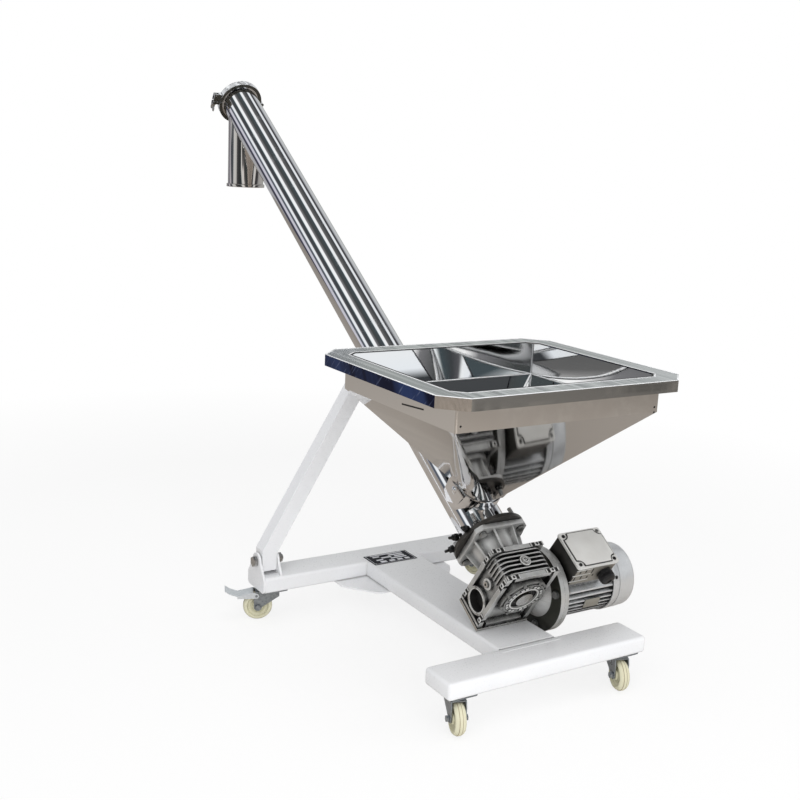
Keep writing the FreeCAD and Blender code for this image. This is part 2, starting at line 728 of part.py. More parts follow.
def case_fins():
    """Ribs along the worm axis on top, their ends falling in an arc over the sides."""
    fins = []
    inner = case_width / 2 - rim_wide - 4
    pitch = 2 * inner / (fin_count - 1)
    tall, reach = case_top - 2, case_length / 2 - 5
    for k in range(fin_count):
        s = gear_s - inner + k * pitch - fin_thick / 2
        arc = Part.Arc(V(s, reach - 24, tall), V(s, reach - 7, tall - 7), V(s, reach, tall - 24)).toShape()
        arc_back = Part.Arc(V(s, -reach, tall - 24), V(s, -reach + 7, tall - 7), V(s, -reach + 24, tall)).toShape()
        base_l = V(s, -reach, 20)
        base_r = V(s, reach, 20)
        wire = Part.Wire([Part.makeLine(V(s, -reach + 24, tall), V(s, reach - 24, tall)), arc,
                          Part.makeLine(V(s, reach, tall - 24), base_r), Part.makeLine(base_r, base_l),
                          Part.makeLine(base_l, V(s, -reach, tall - 24)), arc_back])
        fins.append(Part.Face(wire).extrude(V(fin_thick, 0, 0)))
    return fins


def foot_slots():
    """Open bolt slots in the rails at the corners of the top, bottom and left faces."""
    cutters = []
    rail = case_width / 2 - rim_wide / 2
    for side in (-1, 1):
        s = gear_s + side * rail
        edge0, edge1 = (s - 2, s + 20) if side > 0 else (s - 20, s + 2)
        for y in (-54, 54):
            for z0, z1 in ((case_top - 11, case_top + 1), (case_bottom - 1, case_bottom + 11)):
                cutters.append(rod(4.5, V(s, y, z0), V(s, y, z1)))
                cutters.append(box(edge0, edge1, y - 4.5, y + 4.5, z0, z1))
        for z in (case_top - 26, case_bottom + 26):
            y0, y1 = case_length / 2 - 11, case_length / 2 + 1
            cutters.append(rod(4.5, V(s, y0, z), V(s, y1, z)))
            cutters.append(box(edge0, edge1, y0, y1, z - 4.5, z + 4.5))
    return cutters


def case_pockets():
    """The hollows between the rails on the four sides and the two faces."""
    s0, s1 = gear_s - case_width / 2, gear_s + case_width / 2
    half = case_length / 2
    r = rim_wide
    p = pocket_depth
    pockets = []
    for a, b in ((s0 - 1, s0 + p), (s1 - p, s1 + 1)):
        pockets.append(box(a, b, -half + r, half - r, case_bottom + r, case_top - r))
    pockets.append(box(s0 + r, s1 - r, -half - 1, half + 1, case_top - p, case_top + 1))
    pockets.append(box(s0 + r, s1 - r, -half + r, half - r, case_bottom - 1, case_bottom + 6))
    for a, b in ((half - 9, half + 1), (-half - 1, -half + 9)):
        pockets.append(box(s0 + r, s1 - r, a, b, case_bottom + r, case_top - p + 1))
    return pockets


def reducer_case():
    s0, s1 = gear_s - case_width / 2, gear_s + case_width / 2
    half = case_length / 2
    block = box(s0, s1, -half, half, case_bottom, case_top)
    corners = [e for e in block.Edges if e.BoundBox.XLength > case_width - 1]
    block = block.makeFillet(7, corners)
    for pocket in case_pockets():
        block = block.cut(pocket)
    wheel_boss = rod(chamber_radius, V(s0 - 2, 0, 0), V(s1 + 1, 0, 0))
    worm_boss = rod(worm_chamber, V(gear_s, -half, -centre_distance), V(gear_s, half, -centre_distance))
    plug_boss = rod(13, V(gear_s, 0, 0), V(gear_s, half - 1, 0))
    sight_boss = rod(13, V(gear_s, 0, 40), V(gear_s, 0, case_top))
    case = join([block, wheel_boss, worm_boss, plug_boss, sight_boss] + case_fins())
    for slot in foot_slots():
        case = case.cut(slot)
    chamber = rod(chamber_radius - 7, V(s0 + 12, 0, 0), V(s1 - 11, 0, 0))
    worm_bore = rod(worm_seat_radius, on_axis(-half - 1), on_axis(half + 1))
    side_bore = rod(side_bore_radius, on_axis(half - side_bore_depth), on_axis(half + 1))
    shaft_bore = rod(wheel_seat_radius, V(s0 - 3, 0, 0), V(s1 + 2, 0, 0))
    plug_hole = rod(7, V(gear_s, 40, 0), V(gear_s, half + 1, 0))
    sight_hole = rod(7, V(gear_s, 0, 40), V(gear_s, 0, case_top + 1))
    for cutter in (chamber, worm_bore, side_bore, shaft_bore, plug_hole, sight_hole):
        case = case.cut(cutter)
    return case


def output_flange():
    """Long ribbed flange that carries the tube."""
    s1 = gear_s + case_width / 2 + 1
    f0 = output_face - flange_thick
    half = flange_square / 2
    square = box(f0, output_face, -half, half, -half, half)
    face = square.common(rod(flange_radius, V(f0, 0, 0), V(output_face, 0, 0)))
    neck = cone(50, 56, V(s1 + 8, 0, 0), V(f0 + 1, 0, 0))
    foot = rod(chamber_radius + 4, V(s1, 0, 0), V(s1 + 9, 0, 0))
    pieces = [face, neck, foot]
    for k in range(rib_count):
        rib = plate([V(s1 + 6, -2.5, 40), V(s1 + 6, -2.5, 58), V(f0 + 1, -2.5, 70), V(f0 + 1, -2.5, 40)],
                    5, V(0, 1, 0))
        rib.rotate(V(0, 0, 0), V(1, 0, 0), 360 * (k + 0.5) / rib_count)
        pieces.append(rib)
    flange = join(pieces)
    inner = cone(44, 50, V(s1 - 1, 0, 0), V(output_face + 1, 0, 0))
    bolts, holes = flange_bolts()
    return flange.cut(inner).cut(holes)


def output_cover():
    s0 = gear_s - case_width / 2 - 2
    r = chamber_radius + 1
    seat = wheel_seat_radius
    cover = ring(r, seat, V(s0 - 7, 0, 0), V(s0, 0, 0))
    raised = ring(r - 7, seat, V(s0 - 10, 0, 0), V(s0 - 7, 0, 0))
    spigot = ring(seat - play / 2, hub_radius + running_play, V(s0 - 3, 0, 0), V(s0 + 4, 0, 0))
    web = ring(seat + 1, hub_radius + running_play, V(s0 - 3, 0, 0), V(s0, 0, 0))
    cover = join([cover, raised, spigot, web])
    for k in range(8):
        a = math.radians(22.5 + 45 * k)
        y, z = (r - 3.5) * math.cos(a), (r - 3.5) * math.sin(a)
        lug = rod(4.5, V(s0 - 9, y, z), V(s0, y, z))
        cover = cover.fuse(lug)
    return cover.removeSplitter()


def worm_wheel():
    """Bronze rim with slanted teeth on a hollow hub."""
    pitch_radius = centre_distance - 18.0
    tip, root = pitch_radius + 2.2, pitch_radius - 3.8
    half = 12.0
    lead = math.degrees(math.atan(worm_starts * 3.0 / 36.0))
    wheel = rod(tip, V(gear_s - half, 0, 0), V(gear_s + half, 0, 0))
    gaps = []
    for k in range(wheel_teeth):
        gap = box(-half - 3, half + 3, -3.1, 3.1, root, tip + 3)
        gap.rotate(V(0, 0, 0), V(0, 0, 1), -lead)
        gap.translate(V(gear_s, 0, 0))
        gap.rotate(V(gear_s, 0, 0), V(1, 0, 0), 360 * k / wheel_teeth)
        gaps.append(gap)
    wheel = wheel.cut(Part.makeCompound(gaps))
    s0 = gear_s - case_width / 2 - 9
    s1 = gear_s + case_width / 2
    hub = rod(hub_radius, V(s0, 0, 0), V(s1, 0, 0))
    bore = rod(journal_radius + running_play, V(s0, 0, 0), V(s1, 0, 0))
    return wheel.fuse(hub).removeSplitter().cut(bore)


def worm_shaft():
    """Two-start worm between its bearings, hollow at the motor end."""
    z = -centre_distance
    half = case_length / 2
    core = rod(13.5, V(gear_s, -28, z), V(gear_s, 28, z))
    ends = rod(11, V(gear_s, -half - 20, z), V(gear_s, half - side_bore_depth - 2, z))
    thread_pitch = worm_starts * math.pi * 3.0
    starts = []
    for k in range(worm_starts):
        helix = Part.makeHelix(thread_pitch, 2 * thread_pitch, 13.5)
        section = Part.makePolygon([V(12.5, 0, -2.4), V(19.5, 0, -1.2), V(19.5, 0, 1.2),
                                    V(12.5, 0, 2.4), V(12.5, 0, -2.4)])
        thread = Part.Wire(helix).makePipeShell([section], True, True)
        thread.rotate(V(0, 0, 0), V(0, 0, 1), 360 * k / worm_starts + 90)
        thread.rotate(V(0, 0, 0), V(1, 0, 0), -90)
        thread.translate(V(gear_s, -thread_pitch, z))
        starts.append(thread)
    shaft = join([core, ends] + starts)
    bore = rod(motor_shaft_radius + running_play, V(gear_s, -half - 21, z), V(gear_s, -half + 24, z))
    return shaft.cut(bore)


def build_reducer():
    add_on_tube("reducer_housing", reducer_case())
    add_on_tube("foot_plate", foot_plate())
    add_on_tube("output_flange", output_flange())
    add_on_tube("output_cover", output_cover())
    half = case_length / 2
    side_plug = join([hexagon(13, V(gear_s, half - 1, 0), V(0, 1, 0), 5),
                      rod(7 - running_play, V(gear_s, half - 20, 0), V(gear_s, half - 1, 0))])
    sight = join([hexagon(19, V(gear_s, 0, case_top), V(0, 0, 1), 4),
                  rod(7 - running_play, V(gear_s, 0, case_top - 20), V(gear_s, 0, case_top))])
    add_on_tube("oil_plugs", side_plug, sight)
    add_on_tube("worm_wheel", worm_wheel())
    add_on_tube("worm_shaft", worm_shaft())
    bearings = []
    s0, s1 = gear_s - case_width / 2, gear_s + case_width / 2
    for a in (s0 + 2.5, s1 - 4.5 - bearing_width):
        seat = wheel_seat_radius - play / 2
        bearings.append(ring(seat, hub_radius + running_play, V(a, 0, 0), V(a + bearing_width, 0, 0)))
    for a in (half - side_bore_depth - 3 - bearing_width, 20 - half):
        seat = worm_seat_radius - play / 2
        bearings.append(ring(seat, 11 + running_play, on_axis(a), on_axis(a + bearing_width)))
    add_on_tube("reducer_bearings", *bearings)


# Motor, drawn in the tube frame with its axis at z = -centre_distance


def on_axis(y):
    return V(gear_s, y, -centre_distance)


def build_motor():
    half = case_length / 2
    face = adapter_face
    neck = cone(40, 66, on_axis(-half), on_axis(face + 10))
    disc = rod(motor_disc_radius, on_axis(face + 11), on_axis(face))
    bore = rod(27, on_axis(-half + 1), on_axis(face - 1))
    bolt_holes, bolts = motor_bolts()
    add_on_tube("input_flange", join([neck, disc]).cut(bore).cut(bolt_holes))
    add_on_tube("flange_bolts", *bolts)
    shield = rod(motor_disc_radius, on_axis(face), on_axis(face - motor_disc_thick))
    hood = cone(70, frame_radius, on_axis(face - motor_disc_thick), on_axis(frame_start))
    hollow = rod(44, on_axis(face - 10), on_axis(frame_start - 1))
    shaft_hole = rod(motor_shaft_radius + running_play, on_axis(face + 1), on_axis(frame_start))
    add_on_tube("motor_end_shield", join([shield, hood]).cut(hollow).cut(shaft_hole).cut(bolt_holes))
    add_on_tube("motor_frame", motor_frame())
    core = rod(38, on_axis(frame_start - 20), on_axis(frame_end + 30))
    spindle = rod(motor_shaft_radius, on_axis(-half + 22), on_axis(cover_end + 22))
    add_on_tube("motor_rotor", join([core, spindle]))
    add_on_tube("cooling_fan", cooling_fan())
    add_on_tube("fan_cover", fan_cover())
    build_terminal_box()


def motor_bolts():
    holes, bolts = [], []
    for k in range(4):
        a = math.radians(45 + 90 * k)
        ds, dz = 82.5 * math.cos(a), 82.5 * math.sin(a)
        shift = V(ds, 0, dz)
        start = on_axis(adapter_face + 11).add(shift)
        end = on_axis(adapter_face - motor_disc_thick).add(shift)
        shank = rod(5, start, end.add(V(0, -16, 0)))
        head = hexagon(16, start, V(0, 1, 0), 7)
        nut = hexagon(16, end, V(0, -1, 0), 9).cut(shank)
        bolts += [shank.fuse(head).removeSplitter(), nut]
        holes.append(rod(5 + play, start.add(V(0, 1, 0)), end.add(V(0, -1, 0))))
    return Part.makeCompound(holes), bolts


def motor_frame():
    """Round stator barrel with parallel cooling fins on both sides and below."""
    y0, y1 = frame_end, frame_start
    z = -centre_distance
    fins = []
    reach = fin_tip_radius
    for k in range(-4, 5):
        level = z + 12 * k
        fins.append(box(gear_s - reach, gear_s + reach, y0, y1, level - 1.6, level + 1.6))
    for k in range(-2, 3):
        s = gear_s + 13 * k
        fins.append(box(s - 1.6, s + 1.6, y0, y1, z - reach, z))
    barrel = rod(frame_radius, on_axis(y0), on_axis(y1))
    tips = rod(reach, on_axis(y0), on_axis(y1))
    ribs = Part.makeCompound(fins).common(tips)
    pad = box(gear_s - 40, gear_s + 40, box_y[0] + 6, frame_start, z, 8)
    frame = join([barrel, pad] + ribs.Solids)
    bore = rod(39, on_axis(y0 + 8), on_axis(y1 + 1))
    shaft_hole = rod(motor_shaft_radius + running_play, on_axis(y0 - 1), on_axis(y0 + 9))
    return frame.cut(bore).cut(shaft_hole)


def cooling_fan():
    y0, y1 = frame_end - 34, frame_end - 10
    hub = rod(22, on_axis(y0), on_axis(y1))
    back = rod(60, on_axis(y1 - 3), on_axis(y1))
    blades = []
    for k in range(7):
        blade = box(gear_s + 18, gear_s + 60, y0, y1, -centre_distance - 1.5, -centre_distance + 1.5)
        blade.rotate(on_axis(0), V(0, 1, 0), 360 * k / 7)
        blades.append(blade)
    fan = join([hub, back] + blades)
    return fan.cut(rod(motor_shaft_radius + running_play, on_axis(y0 - 1), on_axis(y1 + 1)))


def fan_cover():
    """Deep-drawn cowl with a rounded end and slotted air inlet."""
    y0, y1 = cover_end, frame_end + 12
    outer = rod(cover_radius, on_axis(y0), on_axis(y1))
    inner = rod(cover_radius - 1.6, on_axis(y0 + 1.6), on_axis(y1 + 1))
    end_edges = [e for e in outer.Edges if e.BoundBox.YMax < y0 + 0.1]
    outer = outer.makeFillet(10, end_edges)
    end_edges = [e for e in inner.Edges if e.BoundBox.YMax < y0 + 1.7]
    inner = inner.makeFillet(8.5, end_edges)
    cowl = outer.cut(inner)
    slots = []
    for radius, wide in ((30, 7), (48, 7)):
        band = ring(radius + wide / 2, radius - wide / 2, on_axis(y0 - 1), on_axis(y0 + 3))
        bars = []
        for k in range(3):
            bar = box(gear_s - 70, gear_s + 70, y0 - 2, y0 + 4, -centre_distance - 3, -centre_distance + 3)
            bar.rotate(on_axis(0), V(0, 1, 0), 60 * k)
            bars.append(bar)
        slots.append(band.cut(join(bars)))
    for slot in slots:
        cowl = cowl.cut(slot)
    return cowl


def build_terminal_box():
    s0, s1 = box_s
    y0, y1 = box_y
    body = box(s0, s1, y0, y1, 8, box_top)
    upright = [e for e in body.Edges if e.BoundBox.ZLength > box_top / 2]
    body = body.makeFillet(5, upright)
    inside = box(s0 + 4, s1 - 4, y0 + 4, y1 - 4, 12, box_top + 1)
    gland_y, gland_z = y0 + 24, 34.0
    entry = rod(11, V(s0 - 1, gland_y, gland_z), V(s0 + 6, gland_y, gland_z))
    add_on_tube("terminal_box", body.cut(inside).cut(entry))
    lid = box(s0 - 2, s1 + 2, y0 - 2, y1 + 2, box_top, box_top + lid_thick)
    upright = [e for e in lid.Edges if e.BoundBox.ZLength > lid_thick / 2 and e.BoundBox.XLength < 1]
    lid = lid.makeFillet(6, upright)
    a, b, c = (s1 - s0) / 2 - 4, (y1 - y0) / 2 - 4, 18
    corners = [(-a + c, -b), (a - c, -b), (a, -b + c), (a, b - c), (a - c, b), (-a + c, b), (-a, b - c), (-a, -b + c)]
    mid_s, mid_y = (s0 + s1) / 2, (y0 + y1) / 2
    panel = plate([V(mid_s + p, mid_y + q, box_top + lid_thick) for p, q in corners], 2, V(0, 0, 1))
    add_on_tube("terminal_lid", lid.fuse(panel).removeSplitter())
    hex_part = hexagon(24, V(s0, gland_y, gland_z), V(-1, 0, 0), 9)
    dome = cone(11.5, 8, V(s0 - 9, gland_y, gland_z), V(s0 - 22, gland_y, gland_z))
    stem = rod(11 - play, V(s0, gland_y, gland_z), V(s0 + 8, gland_y, gland_z))
    hole = rod(4.5, V(s0 - 23, gland_y, gland_z), V(s0 + 9, gland_y, gland_z))
    add_on_tube("cable_gland", join([hex_part, dome, stem]).cut(hole))


build_base()
build_castors()
build_legs()
build_tube()
build_auger()
build_head()
build_hopper()
build_reducer()
build_motor()

# The finished part stands with the middle of its bounding box over the origin, on the floor.
whole = FreeCAD.BoundBox()
for solids in parts.values():
    for solid in solids:
        whole.add(solid.optimalBoundingBox(False, False))
origin = V((whole.XMin + whole.XMax) / 2, (whole.YMin + whole.YMax) / 2, whole.ZMin)
print("origin", origin, "size", whole.XLength, whole.YLength, whole.ZLength)
for name, solids in sorted(parts.items()):
    shape = solids[0] if len(solids) == 1 else Part.makeCompound(solids)
    shape = shape.copy()
    shape.translate(origin.negative())
    shape.exportStep("parts/" + name + ".step")
print("pieces", len(parts))
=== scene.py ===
import bmesh
import bpy
import json
import math
from mathutils import Matrix, Vector

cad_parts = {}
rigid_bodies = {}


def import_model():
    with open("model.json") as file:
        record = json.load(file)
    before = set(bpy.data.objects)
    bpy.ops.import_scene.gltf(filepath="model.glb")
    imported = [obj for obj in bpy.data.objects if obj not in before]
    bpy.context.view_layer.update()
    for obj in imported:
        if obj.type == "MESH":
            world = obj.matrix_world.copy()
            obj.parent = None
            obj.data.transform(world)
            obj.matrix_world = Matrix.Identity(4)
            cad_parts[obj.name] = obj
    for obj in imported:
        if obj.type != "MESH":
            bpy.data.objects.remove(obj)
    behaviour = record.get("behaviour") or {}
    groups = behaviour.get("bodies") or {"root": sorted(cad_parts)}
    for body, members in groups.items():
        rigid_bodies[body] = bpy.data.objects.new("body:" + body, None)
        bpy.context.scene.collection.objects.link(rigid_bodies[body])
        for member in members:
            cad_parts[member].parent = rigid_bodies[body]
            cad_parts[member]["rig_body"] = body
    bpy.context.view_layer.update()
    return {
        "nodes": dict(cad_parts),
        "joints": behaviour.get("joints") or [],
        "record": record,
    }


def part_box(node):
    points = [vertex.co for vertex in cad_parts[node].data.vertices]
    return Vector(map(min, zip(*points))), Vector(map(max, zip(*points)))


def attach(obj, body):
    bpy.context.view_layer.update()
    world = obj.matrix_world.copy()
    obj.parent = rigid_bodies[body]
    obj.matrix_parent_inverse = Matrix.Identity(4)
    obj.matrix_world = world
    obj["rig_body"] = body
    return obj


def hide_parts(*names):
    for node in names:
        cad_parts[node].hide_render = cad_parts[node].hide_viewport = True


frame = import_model()
nodes = frame["nodes"]
scene = bpy.context.scene
print("frame loaded with", len(nodes), "nodes")

# camera at the photograph's viewing angle
cameraView = {
    "place": (-2.5955, 1.4571, 1.1834), "yaw": -31.952, "pitch": -12.491, "roll": 2.6805,
    "lens": 49.99, "sensor": 36, "sight": 60,
}


def makeCamera():
    c = cameraView
    yaw, pitch = math.radians(c["yaw"]), math.radians(c["pitch"])
    ahead = Vector((math.cos(yaw) * math.cos(pitch), math.sin(yaw) * math.cos(pitch), math.sin(pitch)))
    side = ahead.cross(Vector((0, 0, 1))).normalized()
    level = Matrix((side, side.cross(ahead), -ahead)).transposed().to_4x4()
    data = bpy.data.cameras.new("photoCamera")
    data.sensor_width = c["sensor"]
    data.lens = c["lens"]
    data.clip_end = c["sight"]
    camera = bpy.data.objects.new("photoCamera", data)
    roll = Matrix.Rotation(math.radians(c["roll"]), 4, "Z")
    camera.matrix_world = Matrix.Translation(c["place"]) @ level @ roll
    scene.collection.objects.link(camera)
    scene.camera = camera


# studio: soft lamps, a pale floor and a white surround with grey bands that only gloss sees
studio = {
    "daylight": 0.52, "floorSize": 14.0, "floorColour": (0.97, 0.97, 0.97),
    "floorInGloss": (0.5, 0.455, 0.41), "floorGlow": 0.8, "floorFade": (1.3, 2.6),
    "lampAim": (0, 0, 0.5),
    "lamps": [
        ("keyLamp", (-2.6, 2.8, 3.4), 2.6, 41),
        ("fillLamp", (-3.6, 0.6, 1.3), 2.2, 35),
        ("sideLamp", (-2.2, -2.8, 2.0), 2.0, 14),
        ("topLamp", (-1.1, 0.3, 3.8), 2.6, 31),
    ],
    "bandsFaceFrom": (-0.1, 0, 0.7),
    # what gloss sees at each turn about the conveyor's axis, 0.5 is towards the camera
    "bands": [
        (0, (0.4, 0.42, 0.41)), (0.1, (0.42, 0.42, 0.44)), (0.176, (0.4, 0.4, 0.42)),
        (0.188, (0.05, 0.05, 0.07)), (0.232, (0.06, 0.06, 0.09)), (0.242, (0.6, 0.6, 0.68)),
        (0.28, (0.64, 0.64, 0.7)), (0.29, (0.1, 0.11, 0.14)), (0.318, (0.1, 0.12, 0.14)),
        (0.326, (0.88, 0.92, 0.96)), (0.358, (0.92, 0.95, 0.96)), (0.368, (0.1, 0.1, 0.11)),
        (0.395, (0.05, 0.055, 0.06)), (0.428, (0.06, 0.08, 0.09)), (0.438, (0.94, 0.99, 1.0)),
        (0.474, (1.0, 1.0, 1.0)), (0.484, (0.2, 0.2, 0.21)), (0.52, (0.06, 0.065, 0.065)),
        (0.58, (0.06, 0.08, 0.09)), (0.59, (0.94, 0.98, 1.0)), (0.624, (1.0, 1.0, 1.0)),
        (0.634, (0.14, 0.14, 0.14)), (0.712, (0.04, 0.045, 0.05)), (0.722, (0.86, 0.9, 0.94)),
        (0.756, (0.9, 0.92, 0.93)), (0.766, (0.04, 0.04, 0.045)), (0.806, (0.1, 0.1, 0.11)),
        (0.818, (0.42, 0.44, 0.46)), (0.87, (0.6, 0.61, 0.62)), (0.93, (0.44, 0.46, 0.45)),
    ],
}

# the sloping conveyor carries its own axes: along the tube, across it and up from it
incline = math.radians(34)
tubeStart = Vector((-0.54203, -0.0318455, 0.37769))
tubeFoot = (-0.829, 0, -0.559)  # the way to the tube's foot in the object's own axes


def conveyorPlace():
    return Matrix.Translation(tubeStart) @ Matrix.Rotation(-incline, 4, "Y")


# one shader node: settings go by name, inputs are numbers, colours or outputs of other nodes
def fillNode(tree, node, inputs):
    for label, value in inputs.items():
        socket = node.inputs[label]
        if isinstance(value, bpy.types.NodeSocket):
            tree.links.new(value, socket)
        else:
            socket.default_value = (*value, 1) if socket.type == "RGBA" else value


def addNode(tree, kind, inputs=None, **settings):
    node = tree.nodes.new("ShaderNode" + kind)
    for name, value in settings.items():
        setattr(node, name, value)
    fillNode(tree, node, inputs or {})
    return node


def mathNode(tree, operation, first, second, clamp=False):
    return addNode(tree, "Math", {0: first, 1: second}, operation=operation, use_clamp=clamp).outputs[0]


def vectorNode(tree, operation, first, second=(0, 0, 0)):
    return addNode(tree, "VectorMath", {0: first, 1: second}, operation=operation).outputs


def dotNode(tree, first, second):
    return vectorNode(tree, "DOT_PRODUCT", first, second)["Value"]


def noiseNode(tree, vector, scale, detail=3.0, rough=0.5):
    inputs = {"Vector": vector, "Scale": scale, "Detail": detail, "Roughness": rough}
    return addNode(tree, "TexNoise", inputs).outputs["Fac"]


def rangeNode(tree, value, low, high, toLow=0.0, toHigh=1.0):
    inputs = {"Value": value, "From Min": low, "From Max": high, "To Min": toLow, "To Max": toHigh}
    return addNode(tree, "MapRange", inputs).outputs["Result"]


def noiseRange(tree, value, low, high):
    # the reach that a noise really has, spread from low to high
    return rangeNode(tree, value, 0.3, 0.7, low, high)


def mixColour(tree, share, first, second):
    return addNode(tree, "Mix", {"Factor": share, 6: first, 7: second}, data_type="RGBA").outputs[2]


def mixShader(tree, share, first, second):
    return addNode(tree, "MixShader", {"Fac": share, 1: first, 2: second}).outputs[0]


def makeSurround():
    world = bpy.data.worlds.new("studioSurround")
    scene.world = world
    world.use_nodes = True
    tree = world.node_tree
    tree.nodes.clear()
    along = Vector((math.cos(incline), 0, math.sin(incline)))
    back = Vector(cameraView["place"]) - Vector(studio["bandsFaceFrom"])
    back = (back - along * back.dot(along)).normalized()
    sky = addNode(tree, "TexCoord").outputs["Generated"]
    turn = mathNode(tree, "ARCTAN2", dotNode(tree, sky, along.cross(back)), dotNode(tree, sky, back))
    ramp = addNode(tree, "ValToRGB", {"Fac": rangeNode(tree, turn, -math.pi, math.pi)})
    steps = ramp.color_ramp.elements
    steps[0].position, steps[1].position = 0, 1
    steps[0].color = steps[1].color = (*studio["bands"][0][1], 1)
    for place, colour in studio["bands"][1:]:
        steps.new(place).color = (*colour, 1)
    rays = addNode(tree, "LightPath").outputs
    soft = addNode(tree, "Background", {"Color": (1, 1, 1), "Strength": studio["daylight"]}).outputs[0]
    gloss = addNode(tree, "Background", {"Color": ramp.outputs["Color"]}).outputs[0]
    plain = addNode(tree, "Background", {"Color": (1, 1, 1)}).outputs[0]
    seen = mathNode(tree, "MAXIMUM", rays["Is Camera Ray"], rays["Is Transmission Ray"])
    mirrored = mixShader(tree, rays["Is Glossy Ray"], soft, gloss)
    addNode(tree, "OutputWorld", {"Surface": mixShader(tree, seen, mirrored, plain)})


def makeLamps():
    for name, place, size, power in studio["lamps"]:
        data = bpy.data.lights.new(name, "AREA")
        data.shape = "DISK"
        data.size = size
        data.energy = power
        lamp = bpy.data.objects.new(name, data)
        aim = Vector(studio["lampAim"]) - Vector(place)
        lamp.matrix_world = Matrix.Translation(place) @ aim.to_track_quat("-Z", "Y").to_matrix().to_4x4()
        lamp.visible_camera = False
        lamp.visible_glossy = False
        scene.collection.objects.link(lamp)


def makeFloor():
    bm = bmesh.new()
    bmesh.ops.create_grid(bm, x_segments=2, y_segments=2, size=studio["floorSize"] / 2)
    mesh = bpy.data.meshes.new("paleFloor")
    bm.to_mesh(mesh)
    bm.free()
    floor = bpy.data.objects.new("paleFloor", mesh)
    scene.collection.objects.link(floor)
    mat = bpy.data.materials.new("paleFloor")
    mat.use_nodes = True
    tree = mat.node_tree
    tree.nodes.clear()
    place = addNode(tree, "TexCoord").outputs["Object"]
    rays = addNode(tree, "LightPath").outputs
    far = vectorNode(tree, "LENGTH", place)["Value"]
    fade = rangeNode(tree, far, *studio["floorFade"], studio["floorGlow"])
    white = mathNode(tree, "MULTIPLY", rays["Is Camera Ray"], fade)
    tone = mixColour(tree, rays["Is Glossy Ray"], studio["floorColour"], studio["floorInGloss"])
    lit = addNode(tree, "BsdfDiffuse", {"Color": tone}).outputs[0]
    glow = addNode(tree, "Emission").outputs[0]
    addNode(tree, "OutputMaterial", {"Surface": mixShader(tree, white, lit, glow)})
    mesh.materials.append(mat)


# shared effects: each is a node group that gives masks, colours or heights
def startGroup(name, inputs, outputs):
    tree = bpy.data.node_groups.new(name, "ShaderNodeTree")
    tree.interface.new_socket("Vector", in_out="INPUT", socket_type="NodeSocketVector")
    for label, value in inputs.items():
        socket = tree.interface.new_socket(label, in_out="INPUT", socket_type="NodeSocketFloat")
        socket.default_value = value
    for label in outputs:
        tree.interface.new_socket(label, in_out="OUTPUT", socket_type="NodeSocketFloat")
    return tree, tree.nodes.new("NodeGroupInput").outputs, tree.nodes.new("NodeGroupOutput")


def makeGroups():
    # fine cast or enamel grain, as a height, and its broad patches
    tree, given, result = startGroup("fineGrain", {"Scale": 900.0}, ("Height", "Patches"))
    place = given["Vector"]
    fine = noiseNode(tree, place, given["Scale"], 3, 0.6)
    broad = noiseNode(tree, place, mathNode(tree, "MULTIPLY", given["Scale"], 0.04), 4, 0.55)
    fillNode(tree, result, {"Height": fine, "Patches": rangeNode(tree, broad, 0.25, 0.78)})

    # brushed or drawn streaks that run along X of the given vector
    tree, given, result = startGroup("drawnStreaks", {"Fineness": 300.0, "Stretch": 0.02}, ("Streaks", "Bands"))
    squeeze = addNode(tree, "CombineXYZ", {"X": given["Stretch"], "Y": 1, "Z": 1}).outputs[0]
    drawn = vectorNode(tree, "MULTIPLY", given["Vector"], squeeze)[0]
    fine = noiseNode(tree, drawn, given["Fineness"], 2)
    wide = noiseNode(tree, drawn, mathNode(tree, "MULTIPLY", given["Fineness"], 0.12), 2)
    fillNode(tree, result, {"Streaks": fine, "Bands": rangeNode(tree, wide, 0.38, 0.62)})

    # painted shade and dirt that gather where surfaces meet: darker where ambient occlusion finds the surface
    # closed in
    tree, given, result = startGroup("cornerShadeAndGrime", {"Reach": 0.012, "Amount": 1.0}, ("ShadeAndGrime",))
    shade = addNode(tree, "AmbientOcclusion", {"Distance": given["Reach"]}, samples=6)
    closed = rangeNode(tree, shade.outputs["AO"], 0.9, 0.42)
    uneven = noiseRange(tree, noiseNode(tree, given["Vector"], 60, 4, 0.6), 0.45, 1)
    shadeGrime = mathNode(tree, "MULTIPLY", closed, uneven)
    fillNode(tree, result, {"ShadeAndGrime": mathNode(tree, "MULTIPLY", shadeGrime, given["Amount"], True)})

    # bare or bright metal where edges are rubbed, which also stands for painted highlights along the edges
    tree, given, result = startGroup("rubbedEdgesAndHighlights", {"Radius": 0.0015, "Breakup": 90.0}, ("WearAndHighlight",))
    rounded = addNode(tree, "Bevel", {"Radius": given["Radius"]}, samples=4).outputs[0]
    edge = rangeNode(tree, dotNode(tree, rounded, addNode(tree, "NewGeometry").outputs["Normal"]), 0.985, 0.9)
    broken = rangeNode(tree, noiseNode(tree, given["Vector"], given["Breakup"], 4, 0.6), 0.3, 0.55)
    fillNode(tree, result, {"WearAndHighlight": mathNode(tree, "MULTIPLY", edge, broken, True)})


def startMaterial(name):
    mat = bpy.data.materials.new(name)
    mat.use_nodes = True
    tree = mat.node_tree
    return mat, tree, tree.nodes["Principled BSDF"], addNode(tree, "TexCoord").outputs["Object"]


def setSurface(tree, bsdf, colour, rough, metallic=0.0, bump=None):
    fillNode(tree, bsdf, {"Base Color": colour, "Roughness": rough, "Metallic": metallic})
    if bump:
        height, strength, depth = bump
        raised = addNode(tree, "Bump", {"Strength": strength, "Distance": depth, "Height": height})
        tree.links.new(raised.outputs[0], bsdf.inputs["Normal"])


def facing(tree, direction, low=0.8, high=0.95):
    # a mask of the faces that look along one direction of the object
    normal = addNode(tree, "TexCoord").outputs["Normal"]
    return rangeNode(tree, dotNode(tree, normal, Vector(direction).normalized()), low, high)


